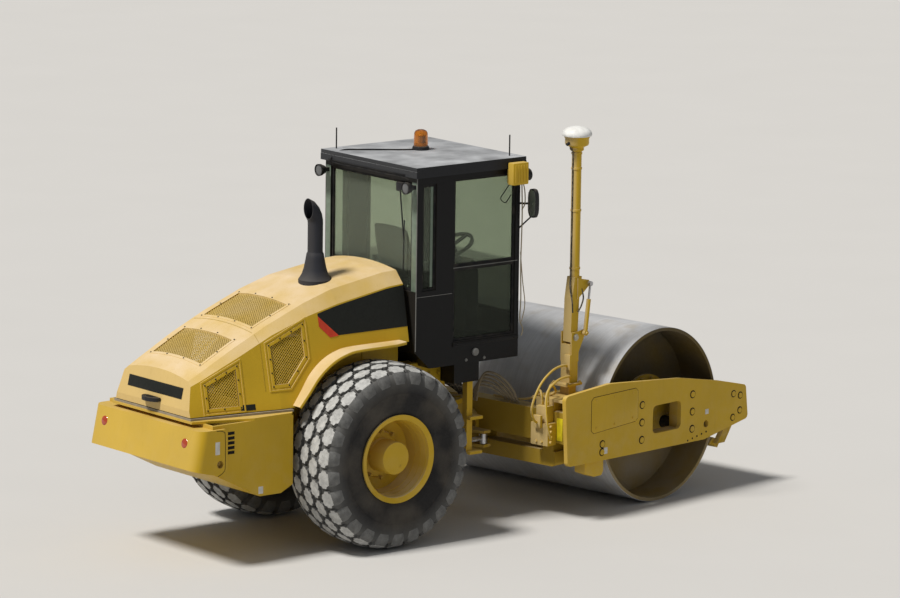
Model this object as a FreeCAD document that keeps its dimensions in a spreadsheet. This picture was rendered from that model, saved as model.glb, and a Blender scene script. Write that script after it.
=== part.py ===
import FreeCAD, Part
import math
import os
import re

import Sketcher
from FreeCAD import Vector

# Articulated soil compactor: one smooth drum in a yoke at the front, two tyres,
# an engine hood and a glazed cab at the rear.
# Millimetres. X forward, Y left, Z up, ground at Z = 0.
# The rear half is drawn about the steering pin, the front half about the same
# pin and then turned to the left by "steer", as the machine is parked.

SIZES = [
    # name, value, meaning
    ("hinge_x", 314, "steering pin ahead of the middle of the machine's box"),
    ("hinge_y", -198, "steering pin to the right of the middle of that box"),
    ("steer", 8.5, "degrees the front half is turned to the left"),
    ("drum_x", 1450, "drum axis ahead of the steering pin"),
    ("drum_r", 762, "drum radius"),
    ("drum_half", 1067, "half the drum's width"),
    ("shell_t", 30, "drum shell thickness"),
    ("head_y", 700, "inner face of a drum head from the middle"),
    ("head_t", 25, "drum head thickness"),
    ("stub_r", 70, "drum stub shaft radius"),
    ("stub_end", 900, "outer end of a stub shaft from the middle"),
    ("fit", 0.05, "radial play of a shaft or pin in its bore"),
    ("part_gap", 6, "air between pieces that move past each other"),
    ("yoke_in", 1110, "inner face of a yoke plate from the middle"),
    ("yoke_t", 40, "yoke plate thickness"),
    ("beam_rear", 190, "rear face of the yoke's rear beam"),
    ("beam_front", 350, "front face of the yoke's rear beam"),
    ("beam_low", 680, "underside of the yoke's rear beam"),
    ("beam_top", 950, "top of the yoke's rear beam"),
    ("shaft_z", 735, "height of the oscillation shaft"),
    ("shaft_r", 70, "oscillation shaft radius"),
    ("pin_r", 45, "steering pin radius"),
    ("ear_r", 95, "radius of the fork ears about the steering pin"),
    ("ear_low", 500, "underside of the lower ear"),
    ("ear_high", 930, "underside of the upper ear"),
    ("ear_t", 40, "ear thickness"),
    ("wheel_x", -1450, "wheel axis behind the steering pin"),
    ("tyre_r", 780, "tyre radius over its tread"),
    ("tyre_half", 290, "half the tyre's width"),
    ("track_half", 775, "middle of a tyre from the middle of the machine"),
    ("block_t", 24, "height of a tread block over the carcass"),
    ("bead_r", 350, "radius at which a tyre sits on its rim"),
    ("axle_r", 110, "axle tube radius"),
    ("spindle_r", 60, "radius of the spindle in a wheel's hub"),
    ("rail_half", 400, "half width of the frame between the tyres"),
    ("plate_t", 20, "frame plate thickness"),
    ("frame_half", 720, "half width of the frame's rear box"),
    ("frame_rear", -3120, "rear wall of the frame's box"),
    ("box_front", -2300, "front wall of the frame's box"),
    ("frame_top", 1200, "top of the frame"),
    ("neck_half", 190, "half width of the frame's neck"),
    ("neck_rear", -960, "rear end of the neck"),
    ("neck_front", -230, "front end of the neck"),
    ("cheek_t", 25, "thickness of the bumper's cheeks beside the frame"),
    ("bumper_top", 1170, "top of the bumper"),
    ("lash_x", -3060, "lashing eye in the bumper's cheek"),
    ("lash_z", 880, "height of that eye"),
    ("lash_r", 32, "radius of the lashing eyes"),
    ("deck_t", 20, "thickness of the ledge under the hood"),
    ("seal_t", 18, "height of the seal on the ledge"),
    ("hood_low", 1244, "lower edge of the hood"),
    ("hood_t", 22, "thickness of the hood's skin"),
    ("hood_front", -1000, "front edge of the hood"),
    ("hood_hinge_z", 2150, "height of the hood's hinge"),
    ("hood_pin_r", 14, "radius of the hood's hinge pin"),
    ("hood_rear_x", -3222, "foot of the hood's rear face, at the frame's top"),
    ("hood_lean", 0.228, "lean of the hood's rear face, forward per height"),
    ("stack_x", -1650, "exhaust stack behind the steering pin"),
    ("stack_y", -150, "stack to the right of the middle"),
    ("stack_foot_r", 140, "radius of the stack's foot"),
    ("cab_rear", -945, "cab rear wall"),
    ("cab_front", 170, "cab front face"),
    ("cab_half", 620, "half the cab's width"),
    ("cab_floor", 1560, "cab floor"),
    ("cab_low", 1400, "underside of the cab's base"),
    ("cab_head", 3030, "top of the cab's posts"),
    ("roof_t", 90, "thickness of the roof"),
    ("wall_t", 50, "thickness of the cab's walls and door"),
    ("glass_t", 6, "glass thickness"),
    ("sill", 1600, "lower edge of the door opening"),
    ("door_rear", -545, "rear edge of the door opening"),
    ("door_front", 125, "front edge of the door opening"),
    ("rail_t", 45, "depth of the cab's head rail over the openings"),
    ("waist", 2060, "lower edge of the rear and quarter windows"),
    ("hinge_pin_r", 8, "radius of the door's hinge pins"),
    ("screen_low", 1760, "lower edge of the front window"),
    ("split_z", 2230, "height of the bar across the side glass"),
    ("mast_x", 507, "mast's fold pin ahead of the steering pin"),
    ("mast_z", 1543, "height of the mast's fold pin"),
    ("mast_y", -850, "middle of the mast"),
    ("mast_tube_r", 42, "mast tube radius"),
    ("mast_top", 3140, "upper end of the mast tube"),
    ("ram_low_x", 600, "lower pin of the mast's ram"),
    ("ram_low_z", 1575, "height of that pin"),
    ("ram_top_x", 655, "upper pin of the mast's ram"),
    ("ram_top_z", 1995, "height of that pin"),
    ("cyl_rear_x", -850, "rear pin of a steering cylinder"),
    ("cyl_rear_y", 300, "that pin from the middle"),
    ("cyl_front_x", 40, "front pin of a steering cylinder, on the hitch's arms"),
    ("cyl_front_y", 290, "that pin from the middle"),
    ("steer_limit", 34, "degrees the front half turns each way"),
    ("eye_half", 42, "half height of a steering cylinder's eyes"),
    ("cyl_z", 640, "height of the steering cylinders"),
    ("cyl_r", 40, "steering cylinder barrel radius"),
    ("rod_r", 22, "steering cylinder rod radius"),
]
V = {name: value for name, value, meaning in SIZES}

doc = FreeCAD.newDocument("soil_compactor")
sheet = doc.addObject("Spreadsheet::Sheet", "Sizes")
for row, (name, value, meaning) in enumerate(SIZES, start=1):
    sheet.set(f"A{row}", name)
    sheet.set(f"B{row}", str(value))
    sheet.set(f"C{row}", meaning)
    sheet.setAlias(f"B{row}", name)
doc.recompute()

subparts = []


def cells(formula):
    """The formula with each size's name turned into a reference to its cell."""
    return re.sub(r"[a-z_]+", lambda m: "Sizes." + m.group(0) if m.group(0) in V else m.group(0),
                  str(formula))


def bind(item, prop, formula):
    item.setExpression(prop, cells(formula))


def spot(x, y, z, axis="0; 0; 1", angle="0"):
    """Expression for a placement at x, y, z turned by angle about axis."""
    return (f"create(<<placement>>; create(<<vector>>; {cells(x)}; {cells(y)}; {cells(z)}); "
            f"create(<<rotation>>; create(<<vector>>; {axis}); {cells(angle)}))")


HALVES = {"rear": spot("hinge_x", "hinge_y", "0"),
          "front": spot("hinge_x", "hinge_y", "0", angle="steer")}
ALONG_Y = ("1; 0; 0", "-90")
ALONG_MINUS_Y = ("1; 0; 0", "90")


def place(item, half, at=None, turn=("0; 0; 1", "0")):
    """Put an item on the rear or the front half, at a point of that half."""
    formula = HALVES[half]
    if at:
        formula += " * " + spot(*at, axis=turn[0], angle=turn[1])
    item.setExpression("Placement", formula)


def body(label, half, at=None, turn=("0; 0; 1", "0")):
    item = doc.addObject("PartDesign::Body", label)
    item.Label = label
    place(item, half, at, turn)
    subparts.append(item)
    return item


def datum(item, role):
    return [f for f in item.Origin.OriginFeatures if f.Role == role][0]


def sketch(item, plane, at, outline=(), circles=()):
    """A closed outline of (x, y) formulas and circles of (x, y, r), on a plane."""
    drawing = item.newObject("Sketcher::SketchObject", item.Label + "_outline")
    drawing.AttachmentSupport = (datum(item, plane + "_Plane"), [""])
    drawing.MapMode = "FlatFace"
    side = "-1 * " if plane == "XZ" else ""
    bind(drawing, "AttachmentOffset.Base.z", f"{side}({at})")
    count = len(outline)
    if count:
        ring = [Vector(math.cos(2 * math.pi * i / count), math.sin(2 * math.pi * i / count), 0) * 50
                for i in range(count)]
        drawing.addGeometry([Part.LineSegment(ring[i], ring[(i + 1) % count]) for i in range(count)],
                            False)
        drawing.addConstraint([Sketcher.Constraint("Coincident", i, 2, (i + 1) % count, 1)
                               for i in range(count)])
        for i, point in enumerate(outline):
            for kind, formula, start in zip(("DistanceX", "DistanceY"), point, ring[i]):
                k = drawing.addConstraint(Sketcher.Constraint(kind, -1, 1, i, 1, start))
                bind(drawing, f"Constraints[{k}]", formula)
    for x, y, radius in circles:
        g = drawing.addGeometry(Part.Circle(Vector(1, 1, 0), Vector(0, 0, 1), 5), False)
        k = drawing.addConstraint(Sketcher.Constraint("Radius", g, 5))
        bind(drawing, f"Constraints[{k}]", radius)
        for kind, formula in (("DistanceX", x), ("DistanceY", y)):
            k = drawing.addConstraint(Sketcher.Constraint(kind, -1, 1, g, 3, 1))
            bind(drawing, f"Constraints[{k}]", formula)
    return drawing


def rect(x0, x1, y0, y1):
    return [(x0, y0), (x1, y0), (x1, y1), (x0, y1)]


def pad(item, plane, low, high, outline=(), circles=()):
    step = item.newObject("PartDesign::Pad", "Pad")
    step.Profile = sketch(item, plane, low, outline, circles)
    bind(step, "Length", f"({high}) - ({low})")
    step.Reversed = plane == "XZ"
    doc.recompute()
    return step


def pocket(item, plane, low, high, outline=(), circles=()):
    before = item.Shape.Volume
    step = item.newObject("PartDesign::Pocket", "Pocket")
    step.Profile = sketch(item, plane, low, outline, circles)
    bind(step, "Length", f"({high}) - ({low})")
    step.Reversed = plane != "XZ"
    doc.recompute()
    if item.Shape.Volume > before - 1:
        raise RuntimeError(f"{item.Label}: a pocket cuts nothing")
    return step


def revolve(item, outline):
    """A solid of revolution about the item's own Z axis; outline of (radius, height)."""
    step = item.newObject("PartDesign::Revolution", "Revolution")
    step.Profile = sketch(item, "XZ", "0", outline)
    step.ReferenceAxis = (datum(item, "Z_Axis"), [""])
    step.Angle = 360
    doc.recompute()
    return step


def round_edges(item, radius, axis, pick=lambda p: True):
    """Fillet the straight edges that lie along an axis and whose middle is picked."""
    doc.recompute()
    names = []
    for i, edge in enumerate(item.Shape.Edges, start=1):
        if edge.Curve.TypeId != "Part::GeomLine":
            continue
        run = edge.Vertexes[1].Point - edge.Vertexes[0].Point
        middle = item.Placement.inverse().multVec(edge.CenterOfMass)
        run = item.Placement.Rotation.inverted().multVec(run)
        if abs(run.dot(axis)) > 0.999 * run.Length and pick(middle):
            names.append(f"Edge{i}")
    if not names:
        raise RuntimeError(f"{item.Label}: no edge to round")
    step = item.newObject("PartDesign::Fillet", "Fillet")
    step.Base = (item.Tip if step != item.Tip else step.BaseFeature, names)
    bind(step, "Radius", radius)
    doc.recompute()
    return step


def shape_part(label, half, shape, at=None, turn=("0; 0; 1", "0")):
    """A piece whose surface neither a pad nor a revolution gives."""
    item = doc.addObject("Part::Feature", label)
    item.Label = label
    item.Shape = shape
    place(item, half, at, turn)
    subparts.append(item)
    return item


X, Y, Z = Vector(1, 0, 0), Vector(0, 1, 0), Vector(0, 0, 1)


# Rear frame: box behind the tyres, rails between them, neck and fork ears.
def rear_frame():
    item = body("rear_frame", "rear")
    box = [("frame_rear", "frame_top"), ("frame_rear", "800"), ("-2640", "560"), ("-2420", "560"),
           ("box_front", "620"), ("box_front", "frame_top")]
    pad(item, "XZ", "-frame_half", "frame_half", box)
    bay = [("frame_rear + plate_t", "frame_top"), ("frame_rear + plate_t", "813"), ("-2635", "580"),
           ("-2424", "580"), ("box_front - plate_t", "633"), ("box_front - plate_t", "frame_top")]
    pocket(item, "XZ", "plate_t - frame_half", "frame_half - plate_t", bay)
    pad(item, "XZ", "-rail_half", "rail_half",
        [("box_front", "620"), ("-2150", "560"), ("neck_rear", "560"), ("neck_rear", "frame_top"),
         ("box_front", "frame_top")])
    pocket(item, "XZ", "plate_t - rail_half", "rail_half - plate_t",
           [("box_front", "640"), ("-2145", "580"), ("neck_rear - plate_t", "580"),
            ("neck_rear - plate_t", "frame_top"), ("box_front", "frame_top")])
    pad(item, "XZ", "-neck_half", "neck_half",
        [("neck_rear", "560"), ("neck_front", "ear_low"), ("neck_front", "ear_high + ear_t"),
         ("neck_front - 60", "frame_top"), ("neck_rear", "frame_top")])
    pocket(item, "XZ", "plate_t - neck_half", "neck_half - plate_t",
           [("neck_rear", "585"), ("neck_front - 2 * plate_t", "530"),
            ("neck_front - 2 * plate_t", "1200"), ("neck_rear", "frame_top + 5")])
    for low in ("ear_low", "ear_high"):
        pad(item, "XY", low, f"{low} + ear_t",
            [("neck_front - 5", "-neck_half"), ("neck_front + 20", "-neck_half"), ("20", "-ear_r + 5"),
             ("20", "ear_r - 5"), ("neck_front + 20", "neck_half"), ("neck_front - 5", "neck_half")])
        pad(item, "XY", low, f"{low} + ear_t", circles=[("0", "0", "ear_r")])
    pocket(item, "XY", "ear_low - 5", "ear_high + ear_t + 5", circles=[("0", "0", "pin_r + fit")])
    pocket(item, "XZ", "-rail_half - 5", "rail_half + 5", circles=[("wheel_x", "tyre_r", "axle_r + 0.1")])
    for side in ("-1", "1"):
        pocket(item, "XZ", f"{side} * frame_half - 25", f"{side} * frame_half + 25",
               circles=[("lash_x", "lash_z", "lash_r")])
        for low in ("cyl_z - 75", "cyl_z + 47"):
            pad(item, "XY", low, f"{low} + 28",
                rect("neck_rear - 5", "cyl_rear_x + 35", f"{side} * cyl_rear_y - 45",
                     f"{side} * cyl_rear_y + 45"))
        pocket(item, "XY", "cyl_z - 80", "cyl_z + 80",
               circles=[("cyl_rear_x", f"{side} * cyl_rear_y", "20 + fit")])


def bumper():
    item = body("bumper", "rear")
    pad(item, "XZ", "-frame_half - cheek_t", "frame_half + cheek_t",
        [("-3330", "850"), ("-3262", "bumper_top"), ("-3010", "bumper_top"), ("-2985", "1140"),
         ("-2985", "800"), ("-3010", "770")])
    pocket(item, "XY", "700", "1300",
           rect("frame_rear", "-2900", "-frame_half", "frame_half"))
    for side in ("-1", "1"):
        pocket(item, "XZ", f"{side} * (frame_half + cheek_t) - 30", f"{side} * (frame_half + cheek_t) + 30",
               circles=[("lash_x", "lash_z", "lash_r")])
    round_edges(item, "90", Vector(68, 0, 320).normalize(), lambda p: p.x < -3200)


def ledge():
    """Ledge plate on the frame's box with the hood's seal on it."""
    item = body("hood_ledge", "rear")
    top = "frame_top + deck_t"
    tail, side, nose = "(frame_half - 160)", "(frame_half + 5)", "(frame_half - 70)"
    pad(item, "XY", "frame_top", top,
        [("-3215", f"-1 * {tail}"), ("-2700", f"-1 * {side}"), ("box_front - 20", f"-1 * {side}"),
         ("box_front + 50", f"-1 * {nose}"), ("box_front + 50", nose), ("box_front - 20", side),
         ("-2700", side), ("-3215", tail)])
    pocket(item, "XY", "frame_top - 5", f"{top} + 5",
           rect("-3060", "box_front + 60", "-520", "520"))


def seal():
    item = body("hood_seal", "rear")
    low = "frame_top + deck_t"
    pad(item, "XY", low, f"{low} + seal_t",
        [("-3205", "-535"), ("box_front + 30", "-688"), ("box_front + 30", "-640"), ("-3170", "-490"),
         ("-3170", "490"), ("box_front + 30", "640"), ("box_front + 30", "688"), ("-3205", "535")])


def engine():
    item = body("engine_block", "rear")
    pad(item, "XZ", "-320", "320", rect("-2200", "-1300", "1020", "1760"))
    for x in ("-2120", "-1420"):
        pad(item, "XZ", "-rail_half", "rail_half", rect(x, f"{x} + 90", "frame_top", "frame_top + 50"))


def radiator():
    item = body("radiator", "rear")
    pad(item, "XZ", "-rail_half", "rail_half", rect("-1220", "-1090", "frame_top", "2000"))


def hood_support():
    """Two posts on the rails with the hood's hinge pins."""
    item = body("hood_support", "rear")
    x = "hood_front - 20"
    for low in ("-rail_half", "rail_half - plate_t"):
        pad(item, "XZ", low, f"{low} + plate_t", rect(f"{x} - 25", f"{x} + 25", "frame_top",
                                                      "hood_hinge_z + 20"))
    pad(item, "XZ", "-rail_half", "rail_half", circles=[(x, "hood_hinge_z", "hood_pin_r")])


def axle():
    """Axle tube with its swollen middle; its own Z runs along the wheels' axis."""
    item = body("rear_axle", "rear", ("wheel_x", "0", "tyre_r"), ALONG_Y)
    half = [("0.0", "700"), ("spindle_r", "700"), ("spindle_r", "560"), ("150", "560"),
            ("150", "520"), ("axle_r", "505"), ("axle_r", "260"), ("195", "150")]
    revolve(item, half + [(r, f"-1 * {y}") for r, y in reversed(half)])


def wheel(side, turn):
    """One rim: flanged barrel, dished disc and hub cap, its own Z outward."""
    item = body(f"rim_{side}", "rear",
                ("wheel_x", "track_half" if side == "left" else "-track_half", "tyre_r"), turn)
    revolve(item, [("0.0", "-60"), ("spindle_r + fit", "-60"), ("spindle_r + fit", "-213"),
                   ("150", "-213"), ("175", "-60"), ("bead_r - 45", "-90"),
                   ("bead_r - 45", "-200"), ("bead_r - 22", "-260"), ("bead_r + 22", "-275"),
                   ("bead_r + 22", "-262"), ("bead_r - 0.1", "-250"), ("bead_r - 0.1", "250"),
                   ("bead_r + 22", "262"), ("bead_r + 22", "275"), ("bead_r - 22", "262"),
                   ("bead_r - 30", "180"), ("bead_r - 50", "0.0"), ("200", "-15"), ("185", "25"),
                   ("140", "30"), ("140", "75"), ("125", "90"), ("0.0", "90")])


# Tread: rows of staggered blocks. Place across the tyre, share of a step, drop from the crown.
TREAD_ROWS = [(-226, 0.5, 24), (-115, 0.0, 6), (0, 0.5, 0), (115, 0.0, 6), (226, 0.5, 24)]
TREAD_BLOCK = [(-94, -50), (66, -50), (94, 50), (-66, 50)]  # along, across
TREAD_STEPS = 26


def tyre_shape():
    """Carcass turned about Z with the tread's blocks on it; one middle block points along +Y."""
    tread = V["tyre_r"] - V["block_t"]
    half = [(V["bead_r"], 249), (V["bead_r"] + 30, 249), (V["bead_r"] + 190, V["tyre_half"]),
            (tread - 106, V["tyre_half"]), (tread - 40, 279), (tread - 10, 171), (tread, 57)]
    ring = [Vector(r, 0, y) for r, y in half] + [Vector(r, 0, -y) for r, y in reversed(half)]
    carcass = Part.Face(Part.makePolygon(ring + ring[:1])).revolve(Vector(), Z, 360)
    blocks = []
    for across, share, drop in TREAD_ROWS:
        foot, top = tread - 70, V["tyre_r"] - drop
        outline = [Vector(a, foot, across + b) for a, b in TREAD_BLOCK]
        block = Part.Face(Part.makePolygon(outline + outline[:1])).extrude(Y * (top - foot))
        for k in range(TREAD_STEPS):
            copy = block.copy()
            copy.rotate(Vector(), Z, 360 * (k + share + 0.5) / TREAD_STEPS)
            blocks.append(copy)
    return carcass.multiFuse(blocks)


def tyres():
    shape = tyre_shape()
    for side, middle in (("left", "track_half"), ("right", "-track_half")):
        shape_part(f"tyre_{side}", "rear", shape, ("wheel_x", middle, "tyre_r"), ALONG_Y)


rear_frame()
bumper()
ledge()
seal()
engine()
radiator()
hood_support()
axle()
wheel("left", ALONG_Y)
wheel("right", ALONG_MINUS_Y)
tyres()

# Hood: a shell lofted through sections that stand across the machine.
HOOD = [
    # x, lower half width, shoulder half width and height, edge half width and height
    (-3200, 520, 455, 1470, 410, 1500),
    (-3060, 538, 475, 1530, 420, 1570),
    (-2700, 592, 500, 1690, 430, 1755),
    (-2370, 650, 510, 1838, 430, 1905),
    (-2000, 672, 515, 1960, 430, 2050),
    (-1700, 680, 515, 2030, 425, 2140),
    (-1150, 680, 510, 2120, 415, 2225),
    (V["hood_front"], 680, 510, 2130, 415, 2232),
]
CROWN = 38


def hood_section(x, low_w, side_w, side_z, top_w, top_z, inset):
    """Closed section of the hood at x, moved in by inset."""
    left = [Vector(x, low_w - inset, V["hood_low"] - (30 if inset else 0)),
            Vector(x, side_w - inset, side_z - 0.45 * inset), Vector(x, top_w - inset, top_z - inset)]
    right = [Vector(p.x, -p.y, p.z) for p in reversed(left)]
    edges = [Part.LineSegment(left[0], left[1]).toShape(), Part.LineSegment(left[1], left[2]).toShape(),
             Part.Arc(left[2], Vector(x, 0, top_z + CROWN - inset), right[0]).toShape(),
             Part.LineSegment(right[0], right[1]).toShape(),
             Part.LineSegment(right[1], right[2]).toShape(),
             Part.LineSegment(right[2], left[0]).toShape()]
    return Part.Wire(edges)


def flat(points, plane, low, high):
    """A prism: points in the XZ, YZ or XY plane, between two levels of the third axis."""
    build = {"XZ": lambda a, b, c: Vector(a, c, b), "YZ": lambda a, b, c: Vector(c, a, b),
             "XY": lambda a, b, c: Vector(a, b, c)}[plane]
    run = build(0, 0, high - low)
    ring = [build(a, b, low) for a, b in points]
    return Part.Face(Part.makePolygon(ring + ring[:1])).extrude(run)


SIDE_GRILLES = [[(-3020, 1300), (-2740, 1300), (-2740, 1600), (-3020, 1480)],
                [(-2400, 1440), (-2270, 1440), (-2080, 1640), (-2080, 1880), (-2400, 1750)]]
TOP_GRILLES = [(-2960, -2640, 330), (-2440, -2080, 330)]


def hood_outer():
    """The hood's outside as a solid down to its lower edge."""
    solid = Part.makeLoft([hood_section(*row, inset=0) for row in HOOD], True, True)
    foot, low, top = V["hood_rear_x"], V["frame_top"], 1700
    behind = [(foot - 100, low), (foot, low), (foot + V["hood_lean"] * (top - low), top),
              (foot - 100, top)]
    return solid.cut(flat(behind, "XZ", -800, 800))


def hood():
    outer = hood_outer()
    inner_rows = list(HOOD)
    inner_rows[0] = (inner_rows[0][0] + V["hood_t"] + 30,) + inner_rows[0][1:]
    inner_rows[-1] = (inner_rows[-1][0] + 50,) + inner_rows[-1][1:]
    inner = Part.makeLoft([hood_section(*row, inset=V["hood_t"]) for row in inner_rows], True, True)
    shell = outer.cut(inner)
    arch = [(-2260, 1100)] + ARCH + [(-900, ARCH[-1][1]), (-900, 1100)]
    shell = shell.cut(flat(arch, "XZ", -800, 800))
    for points in SIDE_GRILLES:
        shell = shell.cut(flat(points, "XZ", -800, 800))
    for x0, x1, half in TOP_GRILLES:
        shell = shell.cut(flat([(x0, -half), (x1, -half), (x1, half), (x0, half)], "XY", 1500, 2400))
    shell = shell.cut(Part.makeCylinder(V["stack_foot_r"] + 0.1, 400,
                                        Vector(V["stack_x"], V["stack_y"], 2000)))
    pin_x = V["hood_front"] - 20
    for side in (-1, 1):
        y = side * (V["rail_half"] - V["plate_t"] - V["part_gap"] - 8)
        lug = flat([(pin_x - 40, V["hood_hinge_z"] - 30), (pin_x + 20, V["hood_hinge_z"] - 30),
                    (pin_x + 20, 2225), (pin_x - 40, 2225)], "XZ", y - 8, y + 8)
        pin = Part.makeCylinder(V["hood_pin_r"] + V["fit"], 100,
                                Vector(pin_x, y - 50, V["hood_hinge_z"]), Y)
        shell = shell.fuse(lug.cut(pin))
    return shape_part("hood", "rear", shell.removeSplitter())


def height_at(points, x):
    """Lowest and highest z of a convex outline at x."""
    found = []
    for (x0, z0), (x1, z1) in zip(points, points[1:] + points[:1]):
        if min(x0, x1) <= x <= max(x0, x1) and x0 != x1:
            found.append(z0 + (z1 - z0) * (x - x0) / (x1 - x0))
    return min(found), max(found)


GRILLE_T = 8
GRILLE_EDGE = 22
SLOT, SLOT_STEP = 14, 26


def grilles():
    """Slotted panels in the hood's openings, flush with its outside."""
    rows = [(HOOD[0][0] + 2 * GRILLE_T,) + HOOD[0][1:]] + HOOD[1:-1] + [(HOOD[-1][0] + 50,) + HOOD[-1][1:]]
    inner = Part.makeLoft([hood_section(*row, inset=GRILLE_T) for row in rows], True, True)
    skin = hood_outer().cut(inner)
    panels = []
    for points in SIDE_GRILLES:
        for low, high in ((-800, -300), (300, 800)):
            panel = skin.common(flat(points, "XZ", low, high))
            x = min(x for x, _ in points) + GRILLE_EDGE
            while x + SLOT < max(x for x, _ in points) - GRILLE_EDGE + 1:
                ends = [height_at(points, x), height_at(points, x + SLOT)]
                z0, z1 = max(a for a, _ in ends) + GRILLE_EDGE, min(b for _, b in ends) - GRILLE_EDGE
                slot = [(x, z0), (x + SLOT, z0), (x + SLOT, z1), (x, z1)]
                panel = panel.cut(flat(slot, "XZ", low, high))
                x += SLOT_STEP
            panels.append(panel)
    for x0, x1, half in TOP_GRILLES:
        panel = skin.common(flat([(x0, -half), (x1, -half), (x1, half), (x0, half)], "XY", 1500, 2400))
        count = int((2 * half - 2 * GRILLE_EDGE) / SLOT_STEP)
        for k in range(count):
            y = (k - (count - 1) / 2) * SLOT_STEP - SLOT / 2
            slot = [(x0 + GRILLE_EDGE, y), (x1 - GRILLE_EDGE, y), (x1 - GRILLE_EDGE, y + SLOT),
                    (x0 + GRILLE_EDGE, y + SLOT)]
            panel = panel.cut(flat(slot, "XY", 1500, 2400))
        panels.append(panel)
    return shape_part("hood_grilles", "rear", Part.makeCompound(panels))


# Lips over the wheel arches: the arch's line, then the lip's thickness, reach from the middle and front end.
ARCH = [(-2232, 1244), (-2140, 1350), (-2030, 1480), (-1900, 1575), (-1760, 1630), (-1600, 1650),
        (V["hood_front"], 1650)]
LIP_T, LIP_REACH, LIP_FRONT = 26, 745, -1100


def arch_lips():
    outer = hood_outer()
    line = ARCH[:-1] + [(LIP_FRONT, ARCH[-1][1])]
    upper = []
    for before, here, after in zip(line[:1] + line, line, line[1:] + line[-1:]):
        along = Vector(after[0] - before[0], 0, after[1] - before[1]).normalize()
        upper.append((here[0] - along.z * LIP_T, here[1] + along.x * LIP_T))
    band = line + upper[::-1]
    lips = [flat(band, "XZ", low, high).cut(outer) for low, high in ((-LIP_REACH, -560), (560, LIP_REACH))]
    return shape_part("arch_lips", "rear", Part.makeCompound(lips))


hood()
grilles()
arch_lips()


# Exhaust stack through the hood's top: skirt, flared foot, and a pipe bent to the rear.
STACK_R, STACK_WALL, STACK_BEND, STACK_BENT_AT, STACK_DEPTH = 64, 8, 150, 2600, 2350


def bent_pipe(radius, low):
    """A solid pipe from a level up to the bend and round it."""
    rings = []
    for degrees in (0, 18, 37, 55):
        turn = math.radians(degrees)
        middle = Vector(STACK_BEND * (math.cos(turn) - 1), 0, STACK_BENT_AT + STACK_BEND * math.sin(turn))
        rings.append(Part.Wire(Part.makeCircle(radius, middle, Vector(-math.sin(turn), 0, math.cos(turn)))))
    bend = Part.makeLoft(rings, True, True)
    return bend.fuse(Part.makeCylinder(radius, STACK_BENT_AT - low, Vector(0, 0, low)))


def stack():
    foot_r = V["stack_foot_r"]
    profile = [(0, 2090), (foot_r, 2090), (foot_r, 2180), (88, 2320), (STACK_R, 2400), (0, 2400)]
    ring = [Vector(r, 0, z) for r, z in profile]
    foot = Part.Face(Part.makePolygon(ring + ring[:1])).revolve(Vector(), Z, 360)
    shape = foot.fuse(bent_pipe(STACK_R, 2400)).cut(bent_pipe(STACK_R - STACK_WALL, STACK_DEPTH))
    return shape_part("exhaust_stack", "rear", shape, ("stack_x", "stack_y", "0"))


stack()


def hood_handle():
    item = body("hood_handle", "rear")
    x = "hood_rear_x - 0.2 + hood_lean * (1330 - frame_top)"
    pad(item, "XZ", "-60", "60",
        [(f"{x} - 18 * hood_lean", "1312"), (f"{x} + 18 * hood_lean", "1348"), (f"{x} - 40", "1348"),
         (f"{x} - 40", "1312")])
    pad(item, "XY", "1308", "1348",
        [(f"{x} - 35", "-70"), (f"{x} - 55", "-110"), (f"{x} - 85", "-60"), (f"{x} - 85", "60"),
         (f"{x} - 55", "110"), (f"{x} - 35", "70")])


hood_handle()


# Cab. The door's hinge pins stand outside its rear post.
LINTEL = "cab_head - rail_t"
ROOF_TOP = "cab_head + roof_t"
HINGE_X = "door_rear - 12"
HINGE_Y = "cab_half + 18"
DOOR_HINGES = ("sill + 200", f"{LINTEL} - 235")
BOX_LOW = "cab_low - 170"


def cab_base():
    """Floor pan with the boxes that the steps hang from."""
    item = body("cab_base", "rear")
    pad(item, "XZ", "-cab_half", "cab_half",
        [("cab_rear", "1540"), ("-792", "cab_low"), ("cab_front", "cab_low"), ("cab_front", "cab_floor"),
         ("cab_rear", "cab_floor")])
    for sign in ("1", "-1"):
        pad(item, "XY", BOX_LOW, "cab_low",
            rect("-500", "-230", f"{sign} * (cab_half - 120) - 90", f"{sign} * (cab_half - 120) + 90"))


def cab_shell():
    item = body("cab_frame", "rear")
    pad(item, "XY", "cab_floor", "cab_head", rect("cab_rear", "cab_front", "-cab_half", "cab_half"))
    pocket(item, "XY", "cab_floor", "cab_head",
           rect("cab_rear + wall_t", "cab_front - wall_t", "wall_t - cab_half", "cab_half - wall_t"))
    pocket(item, "XZ", "-cab_half - 5", "cab_half + 5", rect("door_rear", "door_front", "sill", LINTEL))
    pocket(item, "XZ", "-cab_half - 5", "cab_half + 5",
           rect("cab_rear + 60", "door_rear - 190", "waist", f"{LINTEL} - 20"))
    pocket(item, "YZ", "cab_rear - 5", "cab_rear + wall_t + 5",
           rect("70 - cab_half", "cab_half - 70", "waist", LINTEL))
    pocket(item, "YZ", "cab_front - wall_t - 5", "cab_front + 5",
           rect("60 - cab_half", "cab_half - 60", "screen_low", LINTEL))
    pad(item, "XZ", "8 - cab_half", "wall_t - 10 - cab_half",
        rect("door_rear - 2", "door_front + 2", "split_z - 8", "split_z + 8"))
    for z in DOOR_HINGES:
        pad(item, "XY", z, f"{z} + 40", rect(f"{HINGE_X} - 14", f"{HINGE_X} + 14", "cab_half - 2",
                                            f"{HINGE_Y} + 14"))
        pad(item, "XY", z, f"{z} + 90", circles=[(HINGE_X, HINGE_Y, "hinge_pin_r")])


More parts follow.
